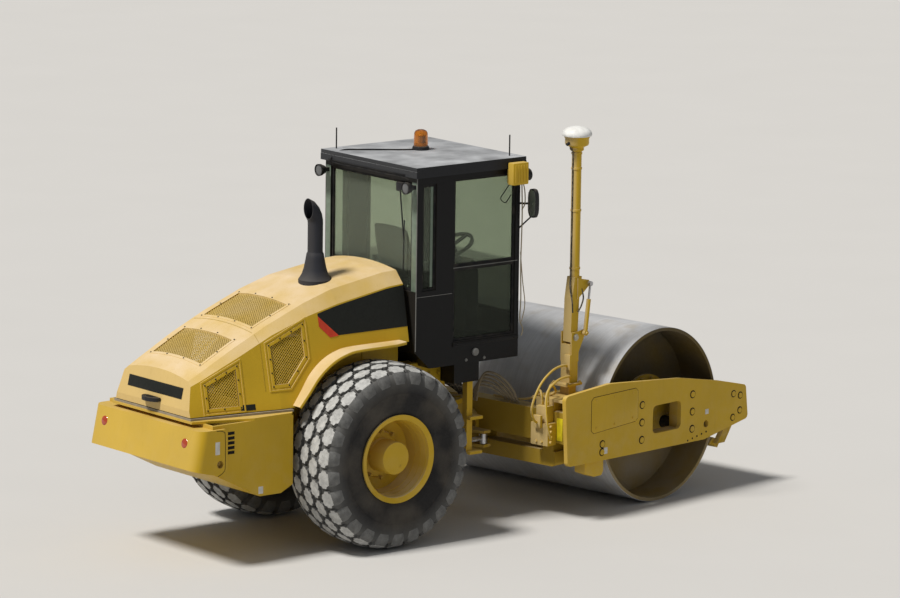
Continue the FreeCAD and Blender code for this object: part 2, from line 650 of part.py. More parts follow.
def cab_roof():
    item = body("cab_roof", "rear")
    pad(item, "XZ", "-cab_half - 35", "cab_half + 35",
        [("cab_rear - 35", "cab_head"), ("cab_front + 35", "cab_head"),
         ("cab_front + 35", f"{ROOF_TOP} - 35"), ("cab_front - 60", ROOF_TOP), ("cab_rear + 60", ROOF_TOP), ("cab_rear - 35", f"{ROOF_TOP} - 35")])


def cab_glass():
    item = body("cab_glass", "rear")
    y = "cab_half - 0.5 * wall_t"
    pad(item, "XZ", f"-1 * ({y})", f"glass_t - ({y})", rect("door_rear", "door_front", "sill", "split_z - 8"))
    pad(item, "XZ", f"-1 * ({y})", f"glass_t - ({y})",
        rect("door_rear", "door_front", "split_z + 8", LINTEL))
    for low in (f"-1 * ({y})", f"{y} - glass_t"):
        pad(item, "XZ", low, f"{low} + glass_t",
            rect("cab_rear + 60", "door_rear - 190", "waist", f"{LINTEL} - 20"))
    pad(item, "YZ", "cab_rear + 0.5 * wall_t", "cab_rear + 0.5 * wall_t + glass_t",
        rect("70 - cab_half", "cab_half - 70", "waist", LINTEL))
    pad(item, "YZ", "cab_front - 0.5 * wall_t", "cab_front - 0.5 * wall_t + glass_t",
        rect("60 - cab_half", "cab_half - 60", "screen_low", LINTEL))


def door():
    item = body("door_left", "rear")
    gap = "part_gap"
    pad(item, "XZ", "cab_half - wall_t", "cab_half",
        rect(f"door_rear + {gap}", f"door_front - {gap}", f"sill + {gap}", f"{LINTEL} - {gap}"))
    pocket(item, "XZ", "cab_half - wall_t - 5", "cab_half + 5",
           rect("door_rear + 45", "door_front - 45", "sill + 50", f"{LINTEL} - 45"))
    for z in DOOR_HINGES:
        low = f"{z} + 41"
        pad(item, "XY", low, f"{low} + 48", rect("door_rear + part_gap", "door_rear + 40", "cab_half - 2",
                                                "cab_half + 20"))
        pad(item, "XY", low, f"{low} + 48", rect(f"{HINGE_X} - 10", "door_rear + 40",
                                                "cab_half + part_gap + 2", f"{HINGE_Y} + 14"))
        pocket(item, "XY", f"{low} - 5", f"{low} + 60", circles=[(HINGE_X, HINGE_Y, "hinge_pin_r + fit")])
    glass = body("door_left_glass", "rear")
    pad(glass, "XZ", "cab_half - 0.5 * wall_t", "cab_half - 0.5 * wall_t + glass_t",
        rect("door_rear + 45", "door_front - 45", "sill + 50", f"{LINTEL} - 45"))


def seat():
    item = body("seat_base", "rear")
    pad(item, "XZ", "-200", "200", rect("-760", "-380", "cab_floor", "1960"))
    pad(item, "XZ", "-40", "40", [("-780", "1960"), ("-700", "1960"), ("-760", "2200"), ("-800", "2200")])
    item = body("seat_cushion", "rear")
    pad(item, "XZ", "-240", "240", rect("-695", "-250", "1960", "2070"))
    pad(item, "XZ", "-230", "230",
        [("-699", "2069"), ("-600", "2070"), ("-690", "2540"), ("-750", "2560"), ("-860", "2520"),
         ("-760", "2200"), ("-740", "2120")])


def steering_console():
    item = body("steering_console", "rear")
    pad(item, "XZ", "-150", "150",
        [("0", "cab_floor"), ("110", "cab_floor"), ("110", "2060"), ("60", "2180"), ("-60", "2120"),
         ("-30", "2000")])
    item = body("steering_wheel", "rear", ("-67.17", "0", "2284.3"), ("0; 1; 0", "-26.565"))
    revolve(item, [("175", "-12"), ("200", "-12"), ("200", "12"), ("175", "12")])
    pad(item, "XY", "-8", "8", rect("-178", "178", "-20", "20"))
    pad(item, "XY", "-150", "10", circles=[("0", "0", "35")])


cab_base()
cab_shell()
cab_roof()
cab_glass()
door()
seat()
steering_console()


def cab_mounts():
    item = body("cab_mounts", "rear")
    for x in ("-780", "-340"):
        for y in ("40 - neck_half", "neck_half - 40"):
            pad(item, "XY", "frame_top", "cab_low", circles=[(x, y, "40")])


def cab_steps():
    """Post with two treads under each side of the cab."""
    item = body("cab_steps", "rear")
    for sign in ("1", "-1"):
        y = f"{sign} * (cab_half - 90)"
        pad(item, "XY", "595", BOX_LOW, rect("-330", "-270", f"{y} - 30", f"{y} + 30"))
        for z in ("600", "900"):
            pad(item, "XY", z, f"{z} + 25", rect("-330", "-195", f"{y} - 80", f"{y} + 80"))


def roof_fittings():
    item = body("beacon", "rear", ("-309", "134", ROOF_TOP))
    revolve(item, [("0", "0"), ("75", "0"), ("75", "30"), ("62", "40"), ("58", "150"), ("30", "175"),
                   ("0.0", "175")])
    item = body("antennas", "rear")
    for x, y in (("cab_rear + 75", "cab_half - 40"), ("cab_front - 75", "60 - cab_half")):
        pad(item, "XY", ROOF_TOP, f"{ROOF_TOP} + 180", circles=[(x, y, "6")])
    item = body("work_lamps", "rear")
    for x, arm in (("cab_rear - 110", "cab_rear - 36"), ("cab_front + 40", "cab_front")):
        for sign in ("-1", "1"):
            y = f"{sign} * (cab_half - 30)"
            pad(item, "YZ", x, f"{x} + 75", circles=[(y, "cab_head - 80", "52")])
            pad(item, "YZ", arm, f"{arm} + 41" if "front" in arm else f"{arm} + 36",
                rect(f"{y} - 20", f"{y} + 20", "cab_head - 100", "cab_head - 60"))
    item = body("receiver_box", "rear")
    pad(item, "XZ", "-cab_half - 95", "-cab_half", rect("20", "150", "cab_head - 130", "cab_head - 5"))
    for k in range(5):
        pocket(item, "XZ", "-cab_half - 100", "-cab_half - 85",
               rect(f"34 + {22 * k}", f"46 + {22 * k}", "cab_head - 118", "cab_head - 17"))
    item = body("mirrors", "rear")
    for sign in ("1", "-1"):
        y = f"{sign} * (cab_half + 105)"
        pad(item, "YZ", "cab_front + 40", "cab_front + 80",
            rect(f"{y} - 55", f"{y} + 55", "cab_head - 430", "cab_head - 180"))
        pad(item, "YZ", "cab_front", "cab_front + 60",
            rect(f"{y} - {sign} * 85 - 60", f"{y} - {sign} * 85 + 60", "cab_head - 330", "cab_head - 300"))
    round_edges(item, "50", X, lambda p: p.x > V["cab_front"] + 50 and abs(p.z - V["cab_head"] + 305) > 120)


cab_mounts()
cab_steps()
roof_fittings()


# Hitch: block on the steering pin, with the oscillation shaft toward the yoke.
def hitch():
    item = body("hitch_block", "front")
    gap = "part_gap"
    pad(item, "XY", f"ear_low + ear_t + {gap}", f"ear_high - {gap}", circles=[("0", "0", "ear_r - 5")])
    pad(item, "XY", "ear_low - 12", f"ear_high + ear_t + 12", circles=[("0", "0", "pin_r")])
    pad(item, "YZ", "20", "beam_front + 12", circles=[("0", "shaft_z", "shaft_r")])
    pad(item, "YZ", "beam_rear - 55", f"beam_rear - {gap}", circles=[("0", "shaft_z", "115")])
    for low in (f"cyl_z + eye_half + {gap}", f"cyl_z - eye_half - {gap} - 24"):
        pad(item, "XY", low, f"{low} + 24",
            [("cyl_front_x - 90", "-60"), ("cyl_front_x - 40", "-cyl_front_y - 45"),
             ("cyl_front_x + 45", "-cyl_front_y - 45"), ("cyl_front_x + 60", "-60"),
             ("cyl_front_x + 60", "60"), ("cyl_front_x + 45", "cyl_front_y + 45"),
             ("cyl_front_x - 40", "cyl_front_y + 45"), ("cyl_front_x - 90", "60")])


hitch()


# Yoke: rear and front beams between two side plates.
def rear_beam():
    item = body("rear_beam", "front")
    pad(item, "YZ", "beam_rear", "beam_front", rect("-yoke_in", "yoke_in", "beam_low", "beam_top"))
    pad(item, "YZ", "beam_rear", "beam_front - 10", rect("-980", "980", "470", "600"))
    pad(item, "YZ", "beam_rear", "beam_front", rect("-170", "170", "600", "beam_low"))
    pocket(item, "YZ", "beam_rear - 5", "beam_front + 5", circles=[("0", "shaft_z", "shaft_r + fit")])
    for side in ("-1", "1"):
        pad(item, "YZ", "beam_rear", "beam_front", rect(f"{side} * 900 - 60", f"{side} * 900 + 60",
                                                       "600", "beam_low"))
    round_edges(item, "40", X, lambda p: abs(p.y) > 970 and p.z < 480)


def front_beam():
    item = body("front_beam", "front")
    pad(item, "XZ", "-yoke_in", "yoke_in",
        [("2335", "600"), ("2480", "575"), ("2480", "850"), ("2335", "850")])


YOKE = [("164", "498"), ("122", "1109"), ("692", "1147"), ("1623", "1071"), ("2171", "972"),
        ("2528", "889"), ("2565", "590"), ("1970", "479"), ("1108", "486")]


def yoke_plates():
    for side, low in (("left", "yoke_in"), ("right", "-yoke_in - yoke_t")):
        item = body(f"yoke_plate_{side}", "front")
        pad(item, "XZ", low, f"{low} + yoke_t", YOKE)
        pocket(item, "XZ", f"{low} - 5", f"{low} + yoke_t + 5", rect("1270", "1645", "627", "872"))
        pocket(item, "XZ", f"{low} - 5", f"{low} + yoke_t + 5", circles=[("1990", "614", "lash_r")])
        round_edges(item, "40", Y, lambda p: p.x < 300 or p.x > 2400)
        round_edges(item, "45", Y, lambda p: 1200 < p.x < 1700 and 600 < p.z < 900)


def scrapers():
    item = body("scrapers", "front")
    pad(item, "XZ", "-yoke_in", "yoke_in", rect("560", "650", "530", "650"))
    pad(item, "XZ", "-1060", "1060", [("650", "560"), ("690", "545"), ("700", "560"), ("650", "600")])
    pad(item, "XZ", "-1060", "1060", [("2150", "400"), ("2260", "350"), ("2300", "410"), ("2200", "450")])
    for side in ("-1", "1"):
        pad(item, "XZ", f"{side} * 1085 - 25", f"{side} * 1085 + 25",
            [("2200", "400"), ("2300", "400"), ("2420", "575"), ("2340", "599")])


def valve_block():
    """Valve block with its ports on the rear beam's right."""
    item = body("valve_block", "front")
    pad(item, "YZ", "beam_rear - 115", "beam_rear", rect("-995", "-800", "665", "860"))
    pad(item, "YZ", "beam_rear - 95", "beam_rear", rect("-960", "-840", "850", "1005"))
    pad(item, "YZ", "beam_rear - 145", "beam_rear - 110", rect("-935", "-855", "800", "850"))
    for z in ("700", "745", "790", "835"):
        pad(item, "XZ", "-1018", "-990", circles=[("beam_rear - 85", z, "13")])
    for y in ("-930", "-870"):
        pad(item, "XY", "1000", "1040", circles=[("beam_rear - 50", y, "14")])


rear_beam()
front_beam()
valve_block()
yoke_plates()
scrapers()


# Drum and what carries it. Each piece has its own Z along the drum's axis.
DRUM_AT = ("drum_x", "0", "drum_r")


def drum_shell():
    item = body("drum_shell", "front", DRUM_AT, ALONG_Y)
    revolve(item, rect("drum_r - shell_t", "drum_r", "-drum_half", "drum_half"))
    for low in ("head_y", "-head_y - head_t"):
        pad(item, "XY", low, f"{low} + head_t", circles=[("0", "0", "drum_r - shell_t + 1")])


def drum_stubs():
    item = body("drum_stubs", "front", DRUM_AT, ALONG_Y)
    for sign in ("1", "-1"):
        low, high = f"{sign} * (head_y + head_t)", f"{sign} * stub_end"
        if sign == "-1":
            low, high = high, low
        pad(item, "XY", low, high, circles=[("0", "0", "stub_r")])
    for low in ("head_y + head_t", "-head_y - head_t - 22"):
        pad(item, "XY", low, f"{low} + 22", circles=[("0", "0", "210")])


def drum_supports():
    bearings = body("drum_bearings", "front", DRUM_AT, ALONG_Y)
    carriers = body("drum_carriers", "front", DRUM_AT, ALONG_Y)
    for low, high in (("790", "stub_end + 5"), ("-stub_end - 5", "-790")):
        pad(bearings, "XY", low, high, circles=[("0", "0", "160")])
    for low in ("880", "-905"):
        pad(bearings, "XY", low, f"{low} + 25", circles=[("0", "0", "330")])
    pocket(bearings, "XY", "-stub_end - 10", "stub_end + 10", circles=[("0", "0", "stub_r + fit")])
    for low, high in (("1020", "yoke_in"), ("-yoke_in", "-1020")):
        pad(carriers, "XY", low, high, rect("-400", "400", "-200", "200"))
    pocket(carriers, "XY", "-yoke_in - 5", "yoke_in + 5", rect("-180", "195", "-135", "135"))
    item = body("drum_isolators", "front", DRUM_AT, ALONG_Y)
    for low, high in (("905", "1020"), ("-1020", "-905")):
        for x in ("-250", "250"):
            for y in ("-120", "120"):
                pad(item, "XY", low, high, circles=[(x, y, "55")])


drum_shell()
drum_stubs()
drum_supports()


# Folding mast with a receiver on the right of the yoke.
def mast():
    item = body("mast_foot", "front")
    pad(item, "XY", "1030", "1050", rect("beam_rear + 10", "620", "-yoke_in", "mast_y + 150"))
    pad(item, "XY", "beam_top", "1030",
        rect("beam_rear + 10", "beam_front - 10", "mast_y - 100", "mast_y + 100"))
    pad(item, "XY", "1050", "1130", rect("mast_x - 60", "mast_x + 30", "mast_y - 50", "mast_y + 50"))
    pad(item, "XY", "1130", "1150", rect("mast_x - 130", "mast_x + 60", "mast_y - 95", "mast_y + 95"))
    pad(item, "XY", "1150", "mast_z - 60", rect("mast_x - 55", "mast_x + 50", "mast_y - 50", "mast_y + 50"))
    for low in ("mast_y - 62", "mast_y + 50"):
        pad(item, "XZ", low, f"{low} + 12",
            [("mast_x - 50", "1330"), ("mast_x + 45", "1330"), ("mast_x + 45", "mast_z + 45"),
             ("mast_x - 50", "mast_z + 45")])
    pad(item, "XZ", "mast_y - 62", "mast_y - 50",
        [("mast_x + 40", "1400"), ("ram_low_x + 25", "ram_low_z - 30"), ("ram_low_x + 25", "ram_low_z + 25"),
         ("mast_x + 40", "mast_z + 45")])
    pad(item, "XZ", "mast_y - 120", "mast_y - 55", circles=[("ram_low_x", "ram_low_z", "12")])
    pocket(item, "XZ", "mast_y - 70", "mast_y + 70", circles=[("mast_x", "mast_z", "15 + fit")])
    item = body("mast_arm", "front")
    pad(item, "XZ", "mast_y - 44", "mast_y + 44",
        [("mast_x - 42", "mast_z - 40"), ("mast_x + 42", "mast_z - 40"), ("mast_x + 62", "1880"),
         ("mast_x + 90", "2060"), ("mast_x", "2060"), ("mast_x - 30", "1880")])
    pad(item, "XZ", "mast_y - 66", "mast_y + 66", circles=[("mast_x", "mast_z", "15")])
    pad(item, "XZ", "mast_y - 56", "mast_y - 43",
        [("mast_x + 30", "1870"), ("ram_top_x + 24", "ram_top_z - 24"), ("ram_top_x + 24", "ram_top_z + 24"),
         ("mast_x + 30", "2050")])
    pad(item, "XY", "2060", "mast_top", circles=[("mast_x + 45", "mast_y", "mast_tube_r")])
    pocket(item, "XY", "1700", "mast_top + 5", circles=[("mast_x + 45", "mast_y", "mast_tube_r - 6")])
    item = body("mast_receiver", "front", ("mast_x + 45", "mast_y", "mast_top"))
    revolve(item, [("0", "0"), ("60", "0"), ("60", "30"), ("110", "40"), ("110", "120"), ("128", "130"),
                   ("128", "160"), ("100", "195"), ("40", "212"), ("0.0", "214")])
    ram = ("0; 1; 0", "atan2(ram_top_x - ram_low_x; ram_top_z - ram_low_z)")
    item = body("mast_ram_barrel", "front", ("ram_low_x", "mast_y - 90", "ram_low_z"), ram)
    pad(item, "XY", "15", "290", circles=[("0", "0", "19")])
    pad(item, "XZ", "-14", "14", circles=[("0", "0", "24")])
    pocket(item, "XY", "60", "300", circles=[("0", "0", "10 + fit")])
    pocket(item, "XZ", "-20", "20", circles=[("0", "0", "12 + fit")])
    item = body("mast_ram_rod", "front", ("ram_top_x", "mast_y - 90", "ram_top_z"), ram)
    pad(item, "XY", "-260", "-10", circles=[("0", "0", "10")])
    pad(item, "XZ", "-14", "14", circles=[("0", "0", "20")])


mast()


# Steering cylinders beneath the cab, from the frame to the hitch's arms.
def cylinder_line(sign, degrees):
    """Rear pin of a steering cylinder and the run to its front pin at a steering angle."""
    turn = math.radians(degrees)
    rear = Vector(V["cyl_rear_x"], sign * V["cyl_rear_y"], V["cyl_z"])
    x, y = V["cyl_front_x"], sign * V["cyl_front_y"]
    front = Vector(x * math.cos(turn) - y * math.sin(turn), x * math.sin(turn) + y * math.cos(turn),
                   V["cyl_z"])
    return rear, front - rear


def steering_cylinders():
    bottom, wall, spare, collar = 75, 15, 70, 160
    shortest = cylinder_line(1, V["steer_limit"])[1].Length
    stroke = cylinder_line(1, -V["steer_limit"])[1].Length - shortest
    mouth = bottom + stroke + collar
    for side, sign in (("left", 1), ("right", -1)):
        rear, run = cylinder_line(sign, V["steer"])
        angle = math.degrees(math.atan2(run.y, run.x))
        at = (str(rear.x), str(rear.y), str(rear.z))
        turn = ("0; 0; 1", str(angle))
        barrel = body(f"steer_barrel_{side}", "rear", at, turn)
        pad(barrel, "YZ", bottom - 45, mouth, circles=[("0", "0", "cyl_r")])
        pocket(barrel, "YZ", bottom, mouth + 5, circles=[("0", "0", "rod_r + fit")])
        pad(barrel, "XY", "-eye_half", "eye_half", circles=[("0", "0", "45")])
        pad(barrel, "XY", "-75", "75", circles=[("0", "0", "20")])
        rod = body(f"steer_rod_{side}", "rear", at, turn)
        inner = bottom + spare + run.Length - shortest
        pad(rod, "YZ", inner, run.Length - wall, circles=[("0", "0", "rod_r")])
        pad(rod, "XY", "-eye_half", "eye_half", circles=[(run.Length, "0", "38")])


steering_cylinders()

doc.recompute()
problems = []
for item in doc.Objects:
    if "Invalid" in item.State or "Error" in item.State:
        problems.append(f"{item.Label}: {item.State}")
for item in subparts:
    if item.Shape.isNull() or not item.Shape.isValid() or not item.Shape.Solids:
        problems.append(f"{item.Label}: bad shape")
if problems:
    raise RuntimeError("; ".join(problems))

os.makedirs("parts", exist_ok=True)
for item in subparts:
    item.Shape.exportStep(f"parts/{item.Label}.step")
whole = FreeCAD.BoundBox()
for item in subparts:
    whole.add(item.Shape.BoundBox)
print(len(subparts), "pieces; box", whole)
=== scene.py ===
"""Finishes and small pieces of a road roller with one smooth drum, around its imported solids."""

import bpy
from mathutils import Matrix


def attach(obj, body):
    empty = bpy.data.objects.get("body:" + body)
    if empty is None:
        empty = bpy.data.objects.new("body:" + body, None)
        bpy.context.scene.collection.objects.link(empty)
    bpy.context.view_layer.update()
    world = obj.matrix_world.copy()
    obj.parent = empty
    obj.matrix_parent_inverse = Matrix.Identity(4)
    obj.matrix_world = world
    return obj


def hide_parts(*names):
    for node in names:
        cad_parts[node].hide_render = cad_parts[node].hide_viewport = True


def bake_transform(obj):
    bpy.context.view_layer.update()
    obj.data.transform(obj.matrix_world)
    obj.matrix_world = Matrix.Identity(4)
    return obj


bl_info = {
    "name": "Road roller looks",
    "version": (1, 0, 0),
    "blender": (4, 5, 0),
    "location": "3D View > Sidebar > Roller",
    "description": "Dresses the solids of a single drum road roller with finishes and small pieces",
    "category": "Object",
}

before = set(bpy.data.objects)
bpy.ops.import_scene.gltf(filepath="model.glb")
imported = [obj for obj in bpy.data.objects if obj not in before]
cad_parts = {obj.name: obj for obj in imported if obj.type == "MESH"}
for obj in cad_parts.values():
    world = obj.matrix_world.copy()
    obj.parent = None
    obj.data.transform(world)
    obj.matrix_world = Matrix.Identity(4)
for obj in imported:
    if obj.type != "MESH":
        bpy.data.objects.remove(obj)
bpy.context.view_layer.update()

import math

import bmesh
import bpy
from bpy.props import FloatProperty, FloatVectorProperty, IntProperty, PointerProperty
from mathutils import Matrix, Vector

# The steering pin stands here; the front half is turned about it.
HINGE = Vector((0.314, -0.198, 0))
STEER = math.radians(8.5)
REAR = Matrix.Translation(HINGE)
FRONT = REAR @ Matrix.Rotation(STEER, 4, "Z")
SIDES = (-1, 1)
NAMES = {-1: "right", 1: "left"}
X, Y, Z = Vector((1, 0, 0)), Vector((0, 1, 0)), Vector((0, 0, 1))

# Where the wheels and the drum turn, on their own half.
WHEEL_AT = Vector((-1.45, 0, 0.78))
TRACK_HALF = 0.775
TYRE_R = 0.78
DRUM_AT = Vector((1.45, 0, 0.762))
DRUM_R = 0.762
PLATE_Y = 1.15          # outer face of a yoke plate
CAB = {"rear": -0.945, "front": 0.17, "half": 0.62, "waist": 2.06, "split": 2.23, "roof": 3.12}


# Settings that a user would change.
def size(name, default, text, **limits):
    """A length in metres."""
    return FloatProperty(name=name, description=text, default=default, unit="LENGTH", **limits)


def colour(name, default, text):
    """A colour, as shares of red, green and blue."""
    return FloatVectorProperty(name=name, description=text, default=default, subtype="COLOR",
                               size=3, min=0, max=1)


class RollerColours(bpy.types.PropertyGroup):
    """Colours that the finishes start from."""
    paint: colour("Body paint", (0.57, 0.365, 0.022), "Ochre yellow of the body")
    dust: colour("Dust", (0.56, 0.48, 0.36), "Dry dust that lies on everything")
    cab: colour("Cab paint", (0.020, 0.021, 0.024), "Black of the cab")
    stack: colour("Stack", (0.028, 0.030, 0.038), "Heat-proof grey of the exhaust stack")
    glass: colour("Glass tint", (0.54, 0.60, 0.49), "Green tint of the cab's glass")
    steel: colour("Drum steel", (0.52, 0.525, 0.54), "Steel rubbed bright by the ground")
    rubber: colour("Rubber", (0.022, 0.021, 0.021), "Rubber in the grooves and on the walls")
    tread: colour("Tread", (0.47, 0.47, 0.455), "Dusty tops of the tread blocks")
    seal: colour("Seal", (0.27, 0.23, 0.17), "Dusty seal under the hood")
    amber: colour("Beacon", (0.95, 0.30, 0.012), "Amber lens of the beacon")
    reflector: colour("Reflector", (0.45, 0.06, 0.02), "Red of the rear reflectors")
    floor: colour("Floor", (0.60, 0.59, 0.575), "Pale floor of the stage")


class RollerSizes(bpy.types.PropertyGroup):
    """Sizes of the small pieces."""
    block_height: size("Block height", 0.024, "Height of a tread block over the carcass", min=0.005)
    block_count: IntProperty(name="Blocks", description="Tread blocks in one ring", default=26, min=8)
    mesh_pitch: size("Grille pitch", 0.017, "Distance between the grilles' bars", min=0.01)
    mesh_bar: size("Grille bar", 0.0050, "Width of a grille's bar", min=0.002)
    screw_r: size("Screw radius", 0.007, "Radius of the screws round a grille", min=0.003)
    hose_r: size("Hose radius", 0.013, "Radius of a pressure hose", min=0.004)
    cable_r: size("Cable radius", 0.006, "Radius of an electric cable", min=0.002)
    bolt_r: size("Bolt radius", 0.036, "Radius of the washers on the yoke", min=0.01)


def colours():
    """The colours as the user has them."""
    return bpy.context.scene.roller_colours


def sizes():
    """The sizes as the user has them."""
    return bpy.context.scene.roller_sizes


# Materials.
SOCKETS = {
    "tone": "Base Color", "rough": "Roughness", "metal": "Metallic", "specular": "Specular IOR Level",
    "through": "Transmission Weight", "coat": "Coat Weight", "sheen": "Sheen Weight", "ior": "IOR",
}


def material(name):
    """A new material, its nodes and its shader."""
    made = bpy.data.materials.new(name)
    made.use_nodes = True
    return made, made.node_tree, made.node_tree.nodes["Principled BSDF"]


def feed(tree, shader, **values):
    """Give the shader its values: a plain number stands on the socket itself, the rest is linked."""
    for key, value in values.items():
        socket = shader.inputs[SOCKETS[key]]
        if isinstance(value, (int, float)):
            socket.default_value = value
        else:
            tree.links.new(value, socket)


def node(tree, kind, **values):
    """A node with its settings and with plain values on its sockets."""
    made = tree.nodes.new(kind)
    for key, value in values.items():
        if hasattr(made, key):
            setattr(made, key, value)
        else:
            made.inputs[key.replace("_", " ").title()].default_value = value
    return made


def place(tree):
    """Where a point of the piece is, in metres, from the piece itself."""
    return node(tree, "ShaderNodeTexCoord").outputs["Object"]


def noise(tree, scale, detail=4.0, stretch=None, at=None):
    """Noise over the piece, squeezed along its axes by stretch."""
    at = at or place(tree)
    if stretch:
        turn = node(tree, "ShaderNodeMapping", Scale=stretch)
        tree.links.new(at, turn.inputs["Vector"])
        at = turn.outputs["Vector"]
    made = node(tree, "ShaderNodeTexNoise", Scale=scale, Detail=detail)
    tree.links.new(at, made.inputs["Vector"])
    return made.outputs["Fac"]


def ramp(tree, value, low, high, start=0.0, end=1.0):
    """start where the value is low, end where it is high, and even between them."""
    made = node(tree, "ShaderNodeMapRange", clamp=True, From_Min=low, From_Max=high, To_Min=start, To_Max=end)
    tree.links.new(value, made.inputs["Value"])
    return made.outputs["Result"]


def times(tree, a, b, operation="MULTIPLY"):
    """Two values or numbers multiplied, or joined by another operation."""
    made = node(tree, "ShaderNodeMath", operation=operation)
    for socket, value in zip(made.inputs, (a, b)):
        if isinstance(value, (int, float)):
            socket.default_value = value
        else:
            tree.links.new(value, socket)
    return made.outputs[0]


def mix(tree, share, a, b):
    """Colour a where share is 0, b where it is 1."""
    made = node(tree, "ShaderNodeMix", data_type="RGBA")
    for socket, value in ((made.inputs[0], share), (made.inputs[6], a), (made.inputs[7], b)):
        if isinstance(value, (int, float)):
            socket.default_value = value
        elif hasattr(value, "is_output"):
            tree.links.new(value, socket)
        else:
            socket.default_value = (*value, 1)
    return made.outputs[2]


def part(tree, vector, axis):
    """One coordinate of a vector."""
    split = node(tree, "ShaderNodeSeparateXYZ")
    tree.links.new(vector, split.inputs[0])
    return split.outputs[axis]


def facing(tree, axis, low, high):
    """0 where the surface's direction along an axis is low, 1 where it is high."""
    return ramp(tree, part(tree, node(tree, "ShaderNodeTexCoord").outputs["Normal"], axis), low, high)


def upward(tree):
    """1 where the surface faces up."""
    return facing(tree, "Z", 0.30, 0.85)


def rearward(tree):
    """1 where the surface faces the rear, which the wheels throw dust at."""
    return facing(tree, "X", -0.5, -0.95)


def height(tree, low, high):
    """0 at one height over the ground, 1 at the other."""
    return ramp(tree, part(tree, place(tree), "Z"), low, high)


def about_axle(tree, centre, turn=0.0):
    """The place seen from an axle, and the square of its distance to it."""
    seen = node(tree, "ShaderNodeMapping", vector_type="TEXTURE", Location=centre, Rotation=(0, 0, turn))
    tree.links.new(place(tree), seen.inputs["Vector"])
    own = seen.outputs["Vector"]
    x, z = part(tree, own, "X"), part(tree, own, "Z")
    return own, times(tree, times(tree, x, x), times(tree, z, z), "ADD")


def bump(tree, shader, value, strength, distance=0.002):
    """Fine relief from a value."""
    made = node(tree, "ShaderNodeBump", Strength=strength, Distance=distance)
    tree.links.new(value, made.inputs["Height"])
    tree.links.new(made.outputs["Normal"], shader.inputs["Normal"])


def scaled(rgb, share):
    """A colour made darker or lighter."""
    return tuple(channel * share for channel in rgb)


def dusty_paint(name, base, top_dust_and_sheen=0.35, dust_low=0.14, gloss=0.34, specks=0.5, dust=None,
                dust_rear=0.12):
    """Paint that varies a little, with dust on what faces up or back and splashes near the ground; on the
    roof, what faces up is also painted with the sky's reflection.
    """
    made, tree, shader = material(name)
    dust = dust or colours().dust
    tone = mix(tree, ramp(tree, noise(tree, 1.7, 3), 0.3, 0.7), scaled(base, 0.94), scaled(base, 1.06))
    # What faces up takes the given top colour: dust, and on the roof also a painted sky reflection.
    top = times(tree, upward(tree), ramp(tree, noise(tree, 3.5, 5), 0.25, 0.75, 0.35, 1.0))
    tone = mix(tree, times(tree, top, top_dust_and_sheen), tone, dust)
    tone = mix(tree, times(tree, rearward(tree), dust_rear), tone, dust)
    low = times(tree, height(tree, 1.25, 0.1), ramp(tree, noise(tree, 9, 8), 0.42, 0.72))
    tone = mix(tree, times(tree, low, dust_low), tone, dust)
    streak = times(tree, ramp(tree, noise(tree, 6, 6, (6, 6, 0.7)), 0.56, 0.75), 0.10)
    tone = mix(tree, streak, tone, scaled(base, 0.55))
    chips = times(tree, ramp(tree, noise(tree, 150, 2), 0.735, 0.75), specks)
    tone = mix(tree, chips, tone, scaled(base, 0.35))
    rough = ramp(tree, noise(tree, 38, 6), 0.3, 0.7, gloss, gloss + 0.16)
    feed(tree, shader, tone=tone, rough=times(tree, rough, times(tree, top, 0.3), "ADD"), specular=0.18)
    bump(tree, shader, noise(tree, 260, 2), 0.06, 0.0006)
    return made


def rubber_skin(tree, shader, tone):
    """The dull, finely grained skin of rubber."""
    feed(tree, shader, tone=tone, rough=ramp(tree, noise(tree, 60, 4), 0.3, 0.7, 0.62, 0.88), specular=0.2)
    bump(tree, shader, noise(tree, 190, 5), 0.25, 0.001)


def rubber(name, base, dust_share=0.12, scale=14.0):
    """Rubber with patches of dust."""
    made, tree, shader = material(name)
    patches = ramp(tree, noise(tree, scale, 8), 0.42, 0.72)
    rubber_skin(tree, shader, mix(tree, times(tree, patches, dust_share), base, scaled(colours().dust, 0.8)))
    return made


def tyre_wall(name):
    """Dark rubber whose shoulder and grooves are grey with dust, parted by the distance to the axle."""
    made, tree, shader = material(name)
    square = about_axle(tree, REAR @ WHEEL_AT)[1]
    patches = ramp(tree, noise(tree, 5, 8), 0.25, 0.75, 0.55, 1.0)
    outer = times(tree, ramp(tree, square, 0.55 ** 2, 0.70 ** 2), patches)
    smudge = times(tree, ramp(tree, noise(tree, 3.5, 8), 0.42, 0.72), 0.12)
    wall = mix(tree, smudge, colours().rubber, scaled(colours().dust, 0.8))
    rubber_skin(tree, shader, mix(tree, outer, wall, scaled(colours().tread, 0.28)))
    return made


def tread_top(name, share=1.0):
    """Rubber worn by the ground, grey with dust."""
    made, tree, shader = material(name)
    tread = scaled(colours().tread, share)
    tone = mix(tree, ramp(tree, noise(tree, 22, 8), 0.3, 0.7), scaled(tread, 0.72), scaled(tread, 1.18))
    pits = times(tree, ramp(tree, noise(tree, 90, 3), 0.6, 0.72), 0.6)
    feed(tree, shader, tone=mix(tree, pits, tone, scaled(tread, 0.4)), rough=0.85, specular=0.3)
    bump(tree, shader, noise(tree, 120, 5), 0.35, 0.0015)
    return made


def steel(name, base, rough=0.35, metal=0.9):
    """Bare or plated steel, a little uneven."""
    made, tree, shader = material(name)
    tone = mix(tree, ramp(tree, noise(tree, 12, 8), 0.3, 0.7), scaled(base, 0.8), scaled(base, 1.1))
    feed(tree, shader, tone=tone, rough=ramp(tree, noise(tree, 40, 6), 0.3, 0.7, rough, rough + 0.15),
         metal=metal)
    return made


